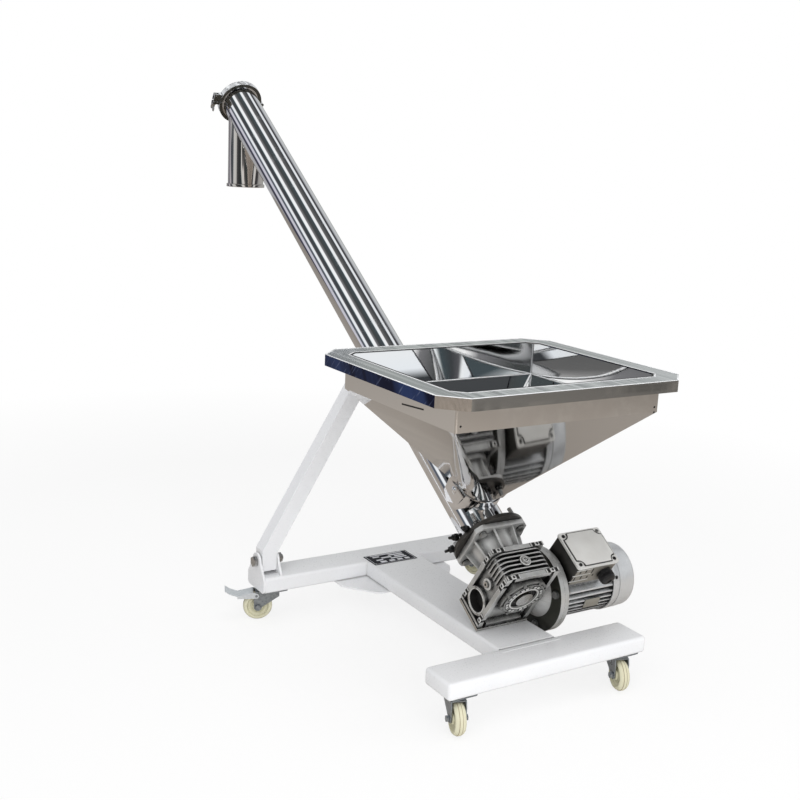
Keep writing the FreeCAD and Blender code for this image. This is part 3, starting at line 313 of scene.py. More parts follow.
def useGroup(tree, name, vector, **values):
    node = addNode(tree, "Group", node_tree=bpy.data.node_groups[name])
    fillNode(tree, node, {"Vector": vector, **values})
    return node.outputs


def streaks(tree, place, degrees, axis, fineness, stretch):
    turn = [0, 0, 0]
    turn[axis] = math.radians(degrees)
    turned = addNode(tree, "Mapping", {"Rotation": turn, "Vector": place}).outputs[0]
    return useGroup(tree, "drawnStreaks", turned, Fineness=fineness, Stretch=stretch)


# mixes a colour towards a darker one where surfaces close in: painted shade together with dirt
def shadedAndGrimed(tree, place, reach, amount, clean, shadeAndDirt):
    shadeGrime = useGroup(tree, "cornerShadeAndGrime", place, Reach=reach, Amount=amount)
    return mixColour(tree, shadeGrime["ShadeAndGrime"], clean, shadeAndDirt)


def darker(colour, share):
    return tuple(c * share for c in colour)


enamel = {
    "clean": ((0.845, 0.852, 0.87), (0.868, 0.874, 0.888)),
    "shadeAndDirt": (0.5, 0.49, 0.47), "rough": (0.26, 0.34), "coat": 0.35, "coatRough": 0.12,
}


def enamelPaint():
    mat, tree, bsdf, place = startMaterial("whiteEnamel")
    grain = useGroup(tree, "fineGrain", place, Scale=260.0)
    clean = mixColour(tree, grain["Patches"], *enamel["clean"])
    colour = shadedAndGrimed(tree, place, 0.007, 0.4, clean, enamel["shadeAndDirt"])
    rough = noiseRange(tree, grain["Height"], *enamel["rough"])
    setSurface(tree, bsdf, colour, rough, 0.0, (grain["Height"], 0.04, 0.0005))
    fillNode(tree, bsdf, {"Coat Weight": enamel["coat"], "Coat Roughness": enamel["coatRough"]})
    return mat


def polishedSteel(name, turn, colour, rough, streak=0.5, smear=0.0):
    mat, tree, bsdf, place = startMaterial(name)
    drawn = streaks(tree, place, turn, 1, 420.0, 0.012)
    grain = useGroup(tree, "fineGrain", place, Scale=120.0)
    base = mixColour(tree, drawn["Bands"], darker(colour, 1 - 0.16 * streak), colour)
    final = shadedAndGrimed(tree, place, 0.006, 0.55, base, darker(colour, 0.35))
    streaked = noiseRange(tree, drawn["Streaks"], rough * 0.75, rough * 1.15)
    smeared = mathNode(tree, "MULTIPLY", grain["Patches"], rough * 0.35)
    patches = rangeNode(tree, noiseNode(tree, place, 16, 5, 0.65), 0.52, 0.7)
    cloudy = mathNode(tree, "MULTIPLY", patches, smear)
    gloss = mathNode(tree, "ADD", mathNode(tree, "ADD", streaked, smeared), cloudy)
    setSurface(tree, bsdf, final, gloss, 1.0, (drawn["Streaks"], 0.012 * streak, 0.0002))
    return mat


hopperSheet = {
    "drawn": ((0.74, 0.73, 0.72), (0.84, 0.83, 0.82)),
    "slanted": (0.7, 0.68, 0.66), "litLeftFaces": (1.0, 1.0, 1.0),
    "shadedNearSlope": (0.62, 0.61, 0.6), "inside": (0.95, 0.95, 0.95),
    "shadeAndDirt": (0.28, 0.28, 0.28),
}


def hopperSteel():
    # brushed outside, mirror bright inside: a face is inside where it looks to the hopper's middle line
    mat, tree, bsdf, place = startMaterial("hopperSheet")
    inward = vectorNode(tree, "SUBTRACT", hopper["middle"], place)[0]
    level = vectorNode(tree, "MULTIPLY", inward, (1, 1, 0))[0]
    normal = addNode(tree, "TexCoord").outputs["Normal"]
    inside = rangeNode(tree, dotNode(tree, level, normal), -0.001, 0.001)
    drawn = useGroup(tree, "drawnStreaks", place, Fineness=420.0, Stretch=0.012)
    grain = useGroup(tree, "fineGrain", place, Scale=120.0)
    base = mixColour(tree, drawn["Bands"], *hopperSheet["drawn"])
    # the faces that look left are painted lighter as painted light, and the near slope darker as painted shade
    for share, colour in (
        (streaks(tree, place, 8, 1, 38.0, 0.1)["Bands"], "slanted"),
        (facing(tree, (0, 1, 0), 0.85, 0.97), "litLeftFaces"),
        (facing(tree, (-0.6, 0, -0.8), 0.85, 0.97), "shadedNearSlope"),
        (inside, "inside"),
    ):
        base = mixColour(tree, share, base, hopperSheet[colour])
    final = shadedAndGrimed(tree, place, 0.006, 0.55, base, hopperSheet["shadeAndDirt"])
    dull = mathNode(tree, "MULTIPLY", grain["Patches"], 0.018)
    outer = mathNode(tree, "ADD", dull, noiseRange(tree, drawn["Streaks"], 0.036, 0.056))
    shine = mathNode(tree, "SUBTRACT", outer, mathNode(tree, "MULTIPLY", inside, 0.03), True)
    setSurface(tree, bsdf, final, shine, 1.0, (drawn["Streaks"], 0.006, 0.0002))
    return mat


rimSheet = {
    "top": ((0.52, 0.54, 0.55), (0.9, 0.92, 0.93)),
    "shadedNearLip": ((0.2, 0.21, 0.21), (0.62, 0.63, 0.62)),
    "shadedNearBands": (0.4, 0.41, 0.41),
    "leftLipBlue": ((0.006, 0.012, 0.06), (0.05, 0.1, 0.32)),
    "scratches": (0.24, 0.32, 0.6),
    "corner": ((0.5, 0.46, 0.42), (0.8, 0.76, 0.72)),
    "shadeAndDirt": (0.1, 0.1, 0.1), "rough": (0.13, 0.24),
}


def rimSteel():
    # brushed top painted light and near lip painted dark grey, both painted reflections, and dark blue on the lip
    # faces that look left
    mat, tree, bsdf, place = startMaterial("rimSteel")
    along = useGroup(tree, "drawnStreaks", place, Fineness=520.0, Stretch=0.03)
    across = streaks(tree, place, 90, 2, 260.0, 0.05)
    slanted = streaks(tree, place, 62, 1, 150.0, 0.06)
    scratched = streaks(tree, place, -48, 1, 240.0, 0.08)
    top = mixColour(tree, along["Bands"], *rimSheet["top"])
    shadedNear = mixColour(tree, slanted["Bands"], *rimSheet["shadedNearLip"])
    shadedNear = mixColour(tree, across["Bands"], shadedNear, rimSheet["shadedNearBands"])
    leftLipBlue = mixColour(tree, slanted["Bands"], *rimSheet["leftLipBlue"])
    scratches = rangeNode(tree, scratched["Streaks"], 0.62, 0.72, 0.0, 0.7)
    leftLipBlue = mixColour(tree, scratches, leftLipBlue, rimSheet["scratches"])
    skin = mixColour(tree, slanted["Streaks"], *rimSheet["corner"])
    # each face takes a colour by the way it looks: the lighter top and the darker near lip are painted reflections
    for direction, colour in (((-1, 0, 0), shadedNear), ((0, 1, 0), leftLipBlue), ((1, 1, 0), leftLipBlue), ((0, 0, 1), top)):
        skin = mixColour(tree, facing(tree, direction), skin, colour)
    final = shadedAndGrimed(tree, place, 0.01, 0.7, skin, rimSheet["shadeAndDirt"])
    rough = noiseRange(tree, along["Streaks"], *rimSheet["rough"])
    setSurface(tree, bsdf, final, rough, 1.0, (along["Streaks"], 0.03, 0.0002))
    return mat


clampSheet = {
    "spots": ((0.26, 0.26, 0.27), (0.97, 0.98, 1.0)),
    "footShade": (0.055, 0.052, 0.044), "shadeAndDirt": (0.02, 0.02, 0.02), "rough": (0.14, 0.24),
    "metallic": 0.45,
}


def mottledSteel():
    # cast and polished clamp: bright with dark spots, a mottle that is partly its cast skin and partly painted
    # reflection, and painted shade where it looks down along the tube
    mat, tree, bsdf, place = startMaterial("clampSteel")
    spots = rangeNode(tree, noiseNode(tree, place, 85, 3, 0.6), 0.36, 0.5)
    skin = mixColour(tree, spots, *clampSheet["spots"])
    skin = mixColour(tree, facing(tree, tubeFoot), skin, clampSheet["footShade"])
    final = shadedAndGrimed(tree, place, 0.008, 1.2, skin, clampSheet["shadeAndDirt"])
    setSurface(tree, bsdf, final, rangeNode(tree, spots, 0, 1, *clampSheet["rough"]), clampSheet["metallic"])
    return mat


def castMetal(name, light, dark, rough, grainScale=700.0, bump=0.25, metallic=0.6, shade=None, depth=1.4):
    # sand-cast or sprayed metal, with painted shade and dirt in its corners, rubbed edges that are also painted
    # highlights, and one face in a colour of painted light or shade at will
    mat, tree, bsdf, place = startMaterial(name)
    grain = useGroup(tree, "fineGrain", place, Scale=grainScale)
    wearAndHighlight = useGroup(tree, "rubbedEdgesAndHighlights", place, Radius=0.0018, Breakup=200.0)
    base = mixColour(tree, grain["Patches"], dark, light)
    # faces that look along the given direction take their own colour: painted shade on the input flange, painted
    # light on the terminal box
    if shade:
        base = mixColour(tree, facing(tree, shade[0]), base, shade[1])
    bright = mixColour(tree, wearAndHighlight["WearAndHighlight"], base, tuple(min(0.94, c * 1.55) for c in light))
    final = shadedAndGrimed(tree, place, 0.02, depth, bright, darker(dark, 0.05))
    gloss = noiseRange(tree, grain["Height"], rough * 0.85, rough * 1.2)
    setSurface(tree, bsdf, final, gloss, metallic, (grain["Height"], bump, 0.0005))
    return mat


def platedSteel(name, light, dark, rough, metallic=1.0):
    mat, tree, bsdf, place = startMaterial(name)
    spangle = addNode(tree, "TexVoronoi", {"Scale": 240, "Vector": place}).outputs["Color"]
    grain = useGroup(tree, "fineGrain", place, Scale=500.0)
    base = mixColour(tree, rangeNode(tree, spangle, 0.1, 0.9, 0.25, 0.9), dark, light)
    final = shadedAndGrimed(tree, place, 0.006, 0.85, base, darker(dark, 0.18))
    gloss = rangeNode(tree, grain["Patches"], 0, 1, rough * 0.8, rough * 1.25)
    setSurface(tree, bsdf, final, gloss, metallic, (grain["Height"], 0.06, 0.0003))
    return mat


def softSolid(name, light, dark, rough, bump=0.08, shine=0.5):
    mat, tree, bsdf, place = startMaterial(name)
    grain = useGroup(tree, "fineGrain", place, Scale=300.0)
    base = mixColour(tree, grain["Patches"], dark, light)
    final = shadedAndGrimed(tree, place, 0.006, 0.6, base, darker(dark, 0.3))
    gloss = noiseRange(tree, grain["Height"], rough * 0.85, rough * 1.15)
    setSurface(tree, bsdf, final, gloss, 0.0, (grain["Height"], bump, 0.0004))
    bsdf.inputs["Specular IOR Level"].default_value = shine
    return mat


# finishes that differ only in their values, which stand in the order that their function takes them
finishRows = {
    polishedSteel: {
        "tube": ("mirrorTube", 34, (0.9, 0.9, 0.91), 0.02, 0.3, 0.16),
        "sheet": ("mirrorSheet", 0, (0.8, 0.79, 0.78), 0.05, 0.5),
        "spout": ("spoutSheet", 90, (0.62, 0.58, 0.54), 0.06, 0.9),
    },
    castMetal: {
        "cast": ("castAlloy", (0.68, 0.68, 0.67), (0.42, 0.42, 0.41), 0.36, 700.0, 0.25, 0.6, None, 2.1),
        # input flange: its face that looks along +Y is painted near black, painted shade
        "flange": ("inputFlange", (0.66, 0.66, 0.65), (0.5, 0.5, 0.49), 0.36, 800.0, 0.15, 0.6,
                   ((0, 1, 0), (0.055, 0.055, 0.045))),
        "motor": ("silverPaint", (0.76, 0.77, 0.78), (0.66, 0.67, 0.68), 0.3, 900.0, 0.08, 0.55),
        "bronze": ("wheelBronze", (0.62, 0.42, 0.2), (0.45, 0.28, 0.12), 0.36),
        "edge": ("brightLands", (0.8, 0.8, 0.78), (0.64, 0.64, 0.62), 0.32, 900.0, 0.1, 0.5, None, 0.5),
        "footSteel": ("footFlange", (0.105, 0.098, 0.09), (0.035, 0.032, 0.03), 0.34, 500.0, 0.25, 0.7),
        "neckCast": ("neckCast", (0.7, 0.7, 0.69), (0.56, 0.56, 0.55), 0.36, 700.0, 0.25, 0.6, None, 1.0),
        "coverCast": ("coverCast", (0.4, 0.4, 0.39), (0.2, 0.2, 0.19), 0.38, 700.0, 0.25, 0.6, None, 2.0),
        # terminal box: near black all over as painted shade, with the face towards the tube's foot painted lighter
        # as its lit side
        "box": ("terminalBox", (0.075, 0.072, 0.066), (0.035, 0.034, 0.031), 0.42, 700.0, 0.2, 0.5,
                (tubeFoot, (0.33, 0.31, 0.27))),
    },
    platedSteel: {
        # near white, standing for the bright lines along hems and seams: painted highlight
        "hem": ("brightHem", (0.98, 0.99, 1.0), (0.92, 0.93, 0.95), 0.24, 0.1),
        "machined": ("machinedSteel", (0.72, 0.71, 0.69), (0.5, 0.49, 0.47), 0.26),
        "zinc": ("zincPlate", (0.4, 0.43, 0.45), (0.21, 0.23, 0.25), 0.3, 0.6),
        "bolt": ("boltSteel", (0.62, 0.62, 0.61), (0.36, 0.36, 0.36), 0.3),
        "pedal": ("pedalZinc", (0.8, 0.83, 0.86), (0.62, 0.66, 0.69), 0.3, 0.45),
        "darkBolt": ("blackenedBolts", (0.1, 0.1, 0.1), (0.04, 0.04, 0.04), 0.38),
        "shaft": ("shaftSteel", (0.74, 0.66, 0.62), (0.56, 0.48, 0.45), 0.28),
    },
    softSolid: {
        "nylon": ("creamNylon", (0.76, 0.74, 0.56), (0.66, 0.63, 0.45), 0.42),
        "treadBrown": ("treadBrown", (0.34, 0.24, 0.13), (0.22, 0.15, 0.08), 0.5),
        "nylonShade": ("nylonShade", (0.62, 0.6, 0.42), (0.5, 0.48, 0.32), 0.45),
        "plastic": ("blackPlastic", (0.016, 0.016, 0.017), (0.008, 0.008, 0.009), 0.38),
        "rubber": ("sealRubber", (0.026, 0.026, 0.026), (0.014, 0.014, 0.014), 0.65),
        "plate": ("plateBlack", (0.01, 0.01, 0.018), (0.004, 0.004, 0.008), 0.5, 0.03, 0.15),
        # near black pieces set in slots, holes, grooves and the worm bore, standing for the shade inside them:
        # painted shade
        "pit": ("blackenedPits", (0.02, 0.019, 0.018), (0.008, 0.008, 0.008), 0.6),
        "beige": ("plateBeige", (0.3, 0.28, 0.24), (0.2, 0.19, 0.16), 0.4, 0.05),
        "printPale": ("printPale", (0.8, 0.81, 0.84), (0.66, 0.67, 0.71), 0.45, 0.02),
        "lid": ("lidPaint", (0.68, 0.68, 0.66), (0.56, 0.55, 0.53), 0.36, 0.1),
    },
}


def makeFinishes():
    made = {"enamel": enamelPaint(), "rim": rimSteel(), "hopper": hopperSteel(), "clampSteel": mottledSteel()}
    for makeFinish, rows in finishRows.items():
        made.update({name: makeFinish(*row) for name, row in rows.items()})
    return made


slotFinish = {
    "base_paint": "enamel", "zinc_steel": "zinc", "wheel_nylon": "nylon",
    "bolt_steel": "bolt", "polished_tube": "tube", "polished_sheet": "sheet",
    "cast_alloy": "cast", "machined_steel": "machined", "motor_silver": "motor",
    "black_plastic": "plastic", "wheel_bronze": "bronze", "seal_rubber": "rubber",
    "plate_alloy": "plate",
}
nodeSlot = {row["node"]: row["material_slot"] for row in frame["record"]["subparts"]}

# a CAD solid dressed for the picture: flats joined, edges rounded, curves smooth
dressing = {
    "edge": 0.0007,
    "widerEdge": {"input_flange": 0.0012, "fan_cover": 0.0012},
    "smoothAngle": 32, "flatAngle": 0.6, "weld": 0.00001,
    # nodes whose finish differs from the rest of their slot
    "finish": {
        "hopper_rim": "rim",
        "hopper_body": "hopper",
        "discharge_spout": "spout",
        "input_flange": "flange",
        "terminal_lid": "lid",
        "terminal_box": "box",
        "tube_base_flange": "footSteel",
        "output_cover": "coverCast",
        "output_flange": "neckCast",
        "clamp_upper": "clampSteel",
        "clamp_lower": "clampSteel",
        "brake_pedal_rear_left": "pedal",
        "brake_pedal_rear_right": "pedal",
    },
    # nodes that a piece made here takes the place of
    "remade": {"cable_gland", "front_crossbar", "wing_nut"},
}


def makeObject(bm, name, finish, angle):
    mesh = bpy.data.meshes.new(name)
    bm.to_mesh(mesh)
    bm.free()
    mesh.polygons.foreach_set("use_smooth", [True] * len(mesh.polygons))
    mesh.set_sharp_from_angle(angle=math.radians(angle))
    piece = bpy.data.objects.new(name, mesh)
    scene.collection.objects.link(piece)
    mesh.materials.append(finishes[finish])
    return piece


def dressSolid(name):
    d = dressing
    source, slotName = nodes[name], nodeSlot[name]
    bm = bmesh.new()
    bm.from_mesh(source.data)
    bmesh.ops.remove_doubles(bm, verts=bm.verts, dist=d["weld"])
    bmesh.ops.dissolve_limit(bm, angle_limit=math.radians(d["flatAngle"]), verts=bm.verts, edges=bm.edges)
    piece = makeObject(bm, name + "_dressed", d["finish"].get(name, slotFinish[slotName]), d["smoothAngle"])
    bevel = piece.modifiers.new("edge", "BEVEL")
    bevel.width = d["widerEdge"].get(name, d["edge"])
    bevel.segments = 2
    bevel.limit_method = "ANGLE"
    bevel.angle_limit = math.radians(d["smoothAngle"])
    bevel.harden_normals = True
    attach(piece, source["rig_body"])
    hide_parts(name)


def finishPiece(bm, name, finish, body="conveyor", replaced=None, angle=35):
    piece = makeObject(bm, name, finish, angle)
    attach(piece, body)
    if replaced:
        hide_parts(replaced)


# small shapes are made upright in a mesh of their own, then placed and joined to their piece
def joinShape(bm, shape, place):
    bmesh.ops.remove_doubles(shape, verts=shape.verts, dist=0.000002)
    bmesh.ops.recalc_face_normals(shape, faces=shape.faces)
    bmesh.ops.transform(shape, matrix=place, verts=shape.verts)
    part = bpy.data.meshes.new("joinedShape")
    shape.to_mesh(part)
    shape.free()
    bm.from_mesh(part)
    bpy.data.meshes.remove(part)


# directions in the conveyor's own axes
footward, leftward, rightward = (-1, 0, 0), (0, 1, 0), (0, -1, 0)
headward, upward, downward = (1, 0, 0), (0, 0, 1), (0, 0, -1)


def standing(point, normal, turn=0.0):
    # Z along the normal, X along the object's own X, or along Y where the normal is X
    up = Vector(normal).normalized()
    side = Vector((1, 0, 0)) if abs(up.x) < 0.9 else Vector((0, 1, 0))
    side = (side - up * side.dot(up)).normalized()
    upright = Matrix((side, up.cross(side), up)).transposed().to_4x4()
    return Matrix.Translation(point) @ upright @ Matrix.Rotation(math.radians(turn), 4, "Z")


def onTube(point, normal, turn=0.0):
    return conveyorPlace() @ standing(point, normal, turn)


def around(radius, degrees):
    aim = math.radians(degrees)
    return radius * math.cos(aim), radius * math.sin(aim)


def roundEdges(shape, edges, width, segments=2):
    bmesh.ops.bevel(shape, geom=edges, offset=width, segments=segments, affect="EDGES", profile=0.5, material=-1)


def addBlock(bm, place, size, edge=0.0):
    shape = bmesh.new()
    bmesh.ops.create_cube(shape, size=1)
    bmesh.ops.scale(shape, vec=size, verts=shape.verts)
    if edge > 0:
        roundEdges(shape, shape.edges[:], edge)
    joinShape(bm, shape, place)


def addTurned(bm, place, outline, steps=32):
    # an outline of radius and height pairs spun about the upright axis, closed when it is a ring
    shape = bmesh.new()
    dots = [shape.verts.new((radius, 0, height)) for radius, height in outline]
    pairs = list(zip(dots, dots[1:]))
    if outline[0][0] > 0:
        pairs.append((dots[-1], dots[0]))
    geom = dots + [shape.edges.new(pair) for pair in pairs]
    bmesh.ops.spin(shape, geom=geom, cent=(0, 0, 0), axis=(0, 0, 1), angle=math.tau, steps=steps, use_merge=True)
    joinShape(bm, shape, place)


def flatRing(inner, outer, low, high):
    # a washer's outline, or a disc's where the inner radius is 0
    return [(inner, high), (outer, high), (outer, low), (inner, low)]


def softRing(inner, outer, low, high, cut=0.0006):
    # a ring whose upper edges are cut off
    outside = [(outer - cut, high), (outer, high - cut), (outer, low)]
    return [(inner, low), (inner, high - cut), (inner + cut, high)] + outside


def addArc(bm, place, size, start, angle, steps):
    inner, outer, tall = size
    shape = bmesh.new()
    corners = [(inner, 0), (outer, 0), (outer, tall), (inner, tall)]
    face = shape.faces.new([shape.verts.new((radius, 0, height)) for radius, height in corners])
    geom = [face] + face.edges[:] + face.verts[:]
    bmesh.ops.spin(shape, geom=geom, cent=(0, 0, 0), axis=(0, 0, 1), angle=math.radians(angle), steps=steps)
    joinShape(bm, shape, place @ Matrix.Rotation(math.radians(start), 4, "Z"))


def makeDrum(radius, tall, sides):
    # an upright drum that stands at zero, and the edges round its top
    shape = bmesh.new()
    bmesh.ops.create_cone(shape, cap_ends=True, segments=sides, radius1=radius, radius2=radius, depth=tall)
    bmesh.ops.translate(shape, vec=(0, 0, tall / 2), verts=shape.verts)
    return shape, [edge for edge in shape.edges if all(v.co.z > tall / 2 for v in edge.verts)]


def addHex(bm, place, across, tall):
    shape, top = makeDrum(across / math.sqrt(3), tall, 6)
    roundEdges(shape, top, across * 0.12)
    joinShape(bm, shape, place)


# a screw's head, in shares of its radius and height
screwHead = {
    "dome": 0.45, "flatEdge": 0.12, "crossHalf": 0.16, "crossReach": 0.5, "recessReach": 0.6,
    "recessDeep": 0.55,
}


def crownFaces(shape, tall):
    return [f for f in shape.faces if f.normal.z > 0.99 and f.calc_center_median().z > tall - 0.000001]


def addScrew(bm, place, radius, tall, steps=24, socket=False):
    # domed head with a cross or a round socket sunk into it
    h = screwHead
    shape, top = makeDrum(radius, tall, steps)
    roundEdges(shape, top, min(radius, tall) * h["dome"], 3)
    shape.faces.ensure_lookup_table()
    crown = max((f for f in shape.faces if f.normal.z > 0.9), key=lambda f: f.calc_area())
    bmesh.ops.inset_region(shape, faces=[crown], thickness=radius * h["flatEdge"])
    half = radius * h["crossHalf"]
    for normal in () if socket else ((1, 0, 0), (-1, 0, 0), (0, 1, 0), (0, -1, 0)):
        faces = [f for f in crownFaces(shape, tall) if f.calc_center_median().xy.length < radius * h["crossReach"]]
        edges = {edge for face in faces for edge in face.edges}
        verts = {vert for face in faces for vert in face.verts}
        geom = faces + list(edges) + list(verts)
        bmesh.ops.bisect_plane(shape, geom=geom, plane_co=Vector(normal) * half, plane_no=normal)
    sunk = []
    for face in crownFaces(shape, tall):
        middle = face.calc_center_median()
        inside = max(v.co.xy.length for v in face.verts) <= radius * h["recessReach"]
        if inside and (socket or abs(middle.x) < half or abs(middle.y) < half):
            sunk.append(face)
    made = bmesh.ops.extrude_face_region(shape, geom=sunk)["geom"]
    lowered = [v for v in made if isinstance(v, bmesh.types.BMVert)]
    bmesh.ops.translate(shape, vec=(0, 0, -tall * h["recessDeep"]), verts=lowered)
    joinShape(bm, shape, place)


def addThread(bm, place, radius, start, end, pitch=0.0017):
    outline = [(0, start)]
    height = start
    while height < end:
        outline += [(radius, height), (radius * 0.84, height + pitch / 2)]
        height += pitch
    outline += [(radius * 0.8, height), (0, height)]
    addTurned(bm, place, outline, 14)


def addRod(bm, start, end, radius):
    start, end = Vector(start), Vector(end)
    shape = bmesh.new()
    deep = (end - start).length
    bmesh.ops.create_cone(shape, cap_ends=True, segments=10, radius1=radius, radius2=radius, depth=deep)
    joinShape(bm, shape, standing((start + end) / 2, end - start))


# hopper: hems along the rim and the mouth and weld seams inside, near white as painted highlights, and the slot
# and rivets of its skirt near black as painted shade
hopper = {
    "middle": (-0.627, -0.0318, 0.732), "size": (0.56, 0.65, 0.052),
    "mouth": (0.453, 0.543, 0.024), "mouthHem": 0.0066, "mouthGap": 0.0014,
    "hem": (0.004, 0.0012), "slot": (-0.6967, 0.2413, 0.6708),
    "slotSize": (0.085, 0.0006, 0.0034), "slotLean": 4.2,
    "rivets": [(-0.855, -0.292, 0.662), (-0.855, -0.292, 0.65), (-0.855, 0.228, 0.664)],
    "rivet": [(0, 0.0012), (0.0014, 0.001), (0.0024, 0.0003), (0.0024, -0.0003), (0, -0.0003)],
    "seamTop": (0.2236, 0.2686, 0.6502), "seamLow": (0.04, 0.04, 0.069),
    "seamRadius": 0.0024, "footSeam": 0.6, "outletAlong": 0.01,
}


def addHem(bm, size, grow=0.0):
    # flat strips along an eight-sided outline
    wide, tall = hopper["hem"]
    x, y, cut = size[0] / 2 + grow, size[1] / 2 + grow, size[2] + grow * 0.6
    corners = [(x, y - cut), (x - cut, y), (-x + cut, y), (-x, y - cut)]
    corners = [Vector((*corner, 0)) for corner in corners]
    corners += [-corner for corner in corners]
    for first, last in zip(corners, corners[1:] + corners[:1]):
        along = last - first
        inward = Vector((-along.y, along.x, 0)).normalized()
        turn = Matrix.Rotation(math.atan2(along.y, along.x), 4, "Z")
        place = Matrix.Translation(Vector(hopper["middle"]) + (first + last) / 2 + inward * wide / 2) @ turn
        addBlock(bm, place, (along.length, wide, tall), tall * 0.3)


def makeHopperSeams():
    # polished welds inside, painted near white as highlights: down the four corners and round the foot of the
    # skirt
    seams = bmesh.new()
    h = hopper
    x, y, level = h["seamTop"]
    lowX, lowY, lowUp = h["seamLow"]
    middle = Vector(h["middle"])
    tops = []
    for sideX, sideY in ((1, 1), (-1, 1), (-1, -1), (1, -1)):
        top = Vector((middle.x + sideX * x, middle.y + sideY * y, level))
        low = conveyorPlace() @ Vector((h["outletAlong"] + sideX * lowX, sideY * lowY, lowUp))
        addRod(seams, top, low, h["seamRadius"])
        tops.append(top)
    for k in range(4):
        addRod(seams, tops[k], tops[k - 1], h["seamRadius"] * h["footSeam"])
    finishPiece(seams, "hopperSeamHighlights", "hem")


def makeHopperTrim():
    h = hopper
    bright, dark = bmesh.new(), bmesh.new()
    addHem(bright, h["size"])
    addHem(bright, h["mouth"], h["mouthHem"])
    addHem(dark, h["mouth"], h["mouthGap"])
    slot = Matrix.Translation(h["slot"]) @ Matrix.Rotation(math.radians(h["slotLean"]), 4, "Y")
    addBlock(dark, slot, h["slotSize"], 0.0002)
    for point in h["rivets"]:
        addTurned(dark, standing(point, (-1, 0, 0)), h["rivet"], 16)
    finishPiece(bright, "rimHemHighlights", "hem")
    finishPiece(dark, "hopperSlotAndRivets", "pit")


# worm reducer: pads at the corners of its rails, ported cover, shaft end, open worm bore, plugs
reducer = {
    "middle": -0.222, "top": 0.072, "left": 0.072, "rail": 0.037, "wormDrop": 0.063,
    "topPads": (-0.054, 0.054), "sidePads": (0.046, -0.086),
    "padGap": (0.0106, 0.036, 0.0008),
    "lugs": [(0, 0.0124, 0.001), (-0.016, 0.003, 0.0008), (0.016, 0.003, 0.0008)],
    "lugWide": 0.0102, "lugTall": 0.0028, "lugLift": 0.0005,
    "lugEye": [(0.0034, 0.0016), (0.0034, 0.0023), (0.0039, 0.0026), (0.0046, 0.0023), (0.0048, 0.0016)],
    "lugHole": (0, 0.0034, 0.001, 0.0021), "coverFace": -0.2765,
    "coverPit": (0.0385, 0.0475, 0.0006), "coverPad": (0.04, 0.046, 0.0012),
    # start, angle and steps of the pits and pads in each eighth of the cover
    "coverPits": ((6, 33, 8),), "coverPads": ((10, 10, 4), (25, 10, 4)),
    "coverScrew": (0.0545, 0.0034, 0.0022), "coverScrewTurn": 22.5,
    "coverRing": (0.0336, 0.0374, -0.004, 0.0012),
    "sealFace": -0.2655,
    "sealLip": [
        (0.0194, 0), (0.0194, 0.004), (0.0204, 0.0052), (0.0225, 0.004), (0.0245, 0.004),
        (0.0262, 0.0056), (0.0285, 0.004), (0.0335, 0.0046), (0.0338, 0.0),
    ],
    "shaftFace": -0.2735,
    "shaftEnd": [
        (0, 0.002), (0.003, 0.002), (0.004, 0.0008), (0.0052, 0.002), (0.0116, 0.002),
        (0.013, 0.001), (0.013, -0.0004), (0, -0.0004),
    ],
    "shaftRing": [(0.0132, -0.0004), (0.0132, 0.0004), (0.016, 0.001), (0.0186, 0.0004), (0.019, -0.0004)],
    "keyways": [
        ((-0.2752, 0, 0.0112), (0.005, 0.005, 0.0016)),
        ((-0.2752, 0.007, -0.003), (0.0026, 0.005, 0.0014)),
    ],
    "wormRing": (0.027, 0.0298, -0.004, 0.001),
    "wormFloor": [
        (0, 0.0006), (0.011, 0.0006), (0.0125, 0.001), (0.02, 0.001), (0.0258, 0.0004),
        (0.0258, -0.0002), (0, -0.0002),
    ],
    "wormFloorAt": 0.0512,
    "wormLiner": [(0.0264, 0.0515), (0.02695, 0.0515), (0.02695, 0.0702), (0.0264, 0.0706)],
    "wormScrew": (0.0302, 0.0032, 0.0018), "wormScrewSunk": 0.0004, "topRing": 0.0098,
    "sideRing": 0.008, "sideRingSunk": 0.001,
    "ringOutside": [(0.0128, 0.0014), (0.0134, 0.0008), (0.0134, -0.001)],
    "plugLift": 0.004,
    "plugHead": [
        (0, 0.0008), (0.0016, 0.0008), (0.002, 0.0002), (0.0052, 0.0002), (0.0058, 0.0012),
        (0.0068, 0.0002), (0.0068, -0.0005), (0, -0.0005),
    ],
    "plugGroove": (0.0021, 0.0051, 0, 0.0004), "plugSocket": (0, 0.003, -0.0005, 0.0003),
}


def makeReducerPads():
    lugs, gaps = bmesh.new(), bmesh.new()
    r = reducer
    spots = []
    for along in (r["middle"] - r["rail"], r["middle"] + r["rail"]):
        spots += [onTube((along, y, r["top"]), upward) for y in r["topPads"]]
        spots += [onTube((along, r["left"], up), leftward) for up in r["sidePads"]]
    for spot in spots:
        addBlock(gaps, spot, r["padGap"])
        for shift, long, edge in r["lugs"]:
            place = spot @ Matrix.Translation((0, shift, r["lugLift"]))
            addBlock(lugs, place, (r["lugWide"], long, r["lugTall"]), edge)
        addTurned(lugs, spot, r["lugEye"], 24)
        addTurned(gaps, spot, flatRing(*r["lugHole"]), 20)
    finishPiece(lugs, "reducerPadLugs", "edge")
    finishPiece(gaps, "reducerPadGaps", "pit")


